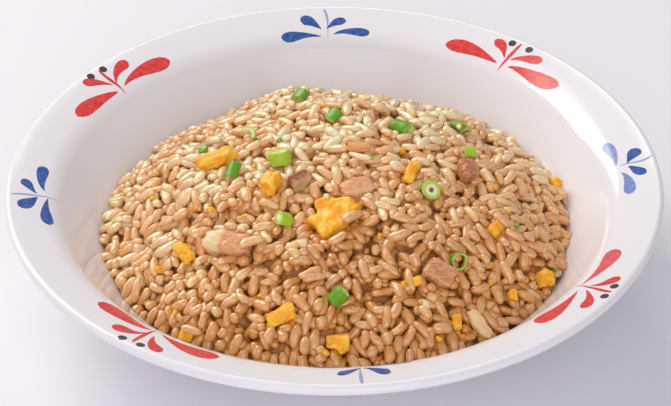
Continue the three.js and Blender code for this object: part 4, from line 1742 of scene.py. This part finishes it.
# x, y and size of the pale scraps of onion
ONION_SCRAPS = ((30.5, -62.6, 3.4), (-10.7, -44.8, 3.6), (-2.4, -26.2, 3.0))


@dataclass
class Crumbs:
    """Small scraps that lie on the grains."""

    name: str
    places: Sequence[tuple[float, float, float]]
    finish: Finish
    pile: Pile
    flat: float = 0.75

    def build(self) -> bpy.types.Object:
        """Models each scrap from a ball and joins them."""
        random = np.random.default_rng(len(self.places))
        made = []
        for number, (x, y, size) in enumerate(self.places):
            Bench.clear()
            bpy.ops.mesh.primitive_ico_sphere_add(subdivisions=3, radius=MM)
            piece = Bench.named(f"{self.name}_{number}")
            points = Bench.points(piece)
            broad = wrinkle(points * size / 2, 2.0, number + 3)
            points = points * (1 + 0.55 * broad)[:, None] * np.array([1, 0.72, self.flat]) * size / 2
            turn = Euler(random.uniform((-0.4, -0.4, 0), (0.4, 0.4, math.tau))).to_matrix()
            points = points @ np.array(turn).T
            grid = self.pile.ground
            near = grid.height[grid.cell(x + points[:, 0]), grid.cell(y + points[:, 1])]
            height = np.quantile(near, 0.6) + size * 0.12
            Bench.move(piece, points + np.array([x, y, height]))
            Bench.mark(piece, "tone", np.clip(0.3 - broad, 0, 1))
            Bench.mark(piece, "dark", np.full(len(points), 0.2))
            made.append(piece)
        piece = Bench.join(made, self.name)
        Bench.smooth(piece)
        return piece

    def dress(self, piece: bpy.types.Object, material: bpy.types.Material) -> None:
        """Colours the scraps."""
        finish_piece(piece, material)


@dataclass
class Studio:
    """The floor, the lights and the camera."""

    lens: float = 139.46
    camera_place: tuple[float, float, float] = (0.000495, -0.74138, 0.57425)
    camera_tilt: float = 54.043

    def floor(self) -> None:
        """Lays a plain pale floor."""
        Bench.clear()
        bpy.ops.mesh.primitive_plane_add(size=6.0)
        piece = Bench.named("floor")
        piece.data.materials.append(PlainLook("table", "e9e7ec", 0.45).material())

    def lamp(self, name: str, place: Sequence[float], size: float, power: float, tint: str) -> None:
        """Hangs one soft lamp that faces the plate."""
        Bench.clear()
        bpy.ops.object.light_add(type="AREA", location=place)
        lamp = bpy.context.object
        lamp.name = name
        lamp.data.shape = "RECTANGLE"
        lamp.data.size = size
        lamp.data.size_y = size
        lamp.data.energy = power
        lamp.data.color = rgb(tint)[:3]
        lamp.rotation_euler = (Vector((0, 0, 0.03)) - Vector(place)).to_track_quat("-Z", "Y").to_euler()

    def lights(self) -> None:
        """Sets the lamps and the even light all round."""
        self.lamp("key", (-0.95, 1.02, 1.18), 1.1, 22.5, "fffaf2")
        self.lamp("glint", (0.0, 1.35, 1.3), 0.4, 2.5, "ffffff")
        self.lamp("fill", (0.0, -1.35, 0.8), 1.4, 13.5, "f8f7ff")
        world = bpy.data.worlds.new("studio")
        world.use_nodes = True
        back = world.node_tree.nodes["Background"]
        back.inputs["Color"].default_value = rgb("eeecf2")
        back.inputs["Strength"].default_value = 0.45
        bpy.context.scene.world = world

    def camera(self) -> None:
        """Sets the camera where the photograph was taken from."""
        Bench.clear()
        bpy.ops.object.camera_add(location=self.camera_place)
        camera = bpy.context.object
        camera.name = "camera"
        camera.rotation_euler = (math.radians(self.camera_tilt), 0, 0)
        camera.data.lens = self.lens
        camera.data.sensor_width = 36.0
        camera.data.sensor_fit = "HORIZONTAL"
        camera.data.clip_start = 0.01
        bpy.context.scene.camera = camera
        bpy.context.scene.view_settings.view_transform = "Standard"

    def build(self) -> None:
        """Sets up the whole studio."""
        self.floor()
        self.lights()
        self.camera()


def main() -> None:
    """Builds and dresses everything in order."""
    logging.basicConfig(level=logging.INFO, format="%(message)s")
    heap_form, plate_form = HeapForm(), PlateForm()
    plate = Plate(plate_form)
    plate.dress(plate.build())
    PaintedRim(plate_form).dress()

    materials = {finish: finish.value.material() for finish in Finish}
    ground = Ground()
    for bit in BITS:
        piece = bit.build(heap_form)
        ground.cover(piece)
        finish_piece(piece, materials[bit.finish], [bit.node])
    log.info("%d bits are modelled", len(BITS))

    pile = Pile(heap_form, ground)
    heap = RiceHeap(heap_form, plate_form, pile)
    ground.height = heap.core_height(ground.x, ground.y)
    core = heap.build_core()
    heap.dress(core, heap.build_grains())
    for name, places, finish in (
        ("egg_crumbs", EGG_CRUMBS, Finish.EGG),
        ("green_specks", GREEN_SPECKS, Finish.LEAF),
        ("onion_scraps", ONION_SCRAPS, Finish.ONION),
    ):
        crumbs = Crumbs(name, places, finish, pile)
        crumbs.dress(crumbs.build(), materials[finish])

    Studio().build()


if __name__ == "__main__":
    main()
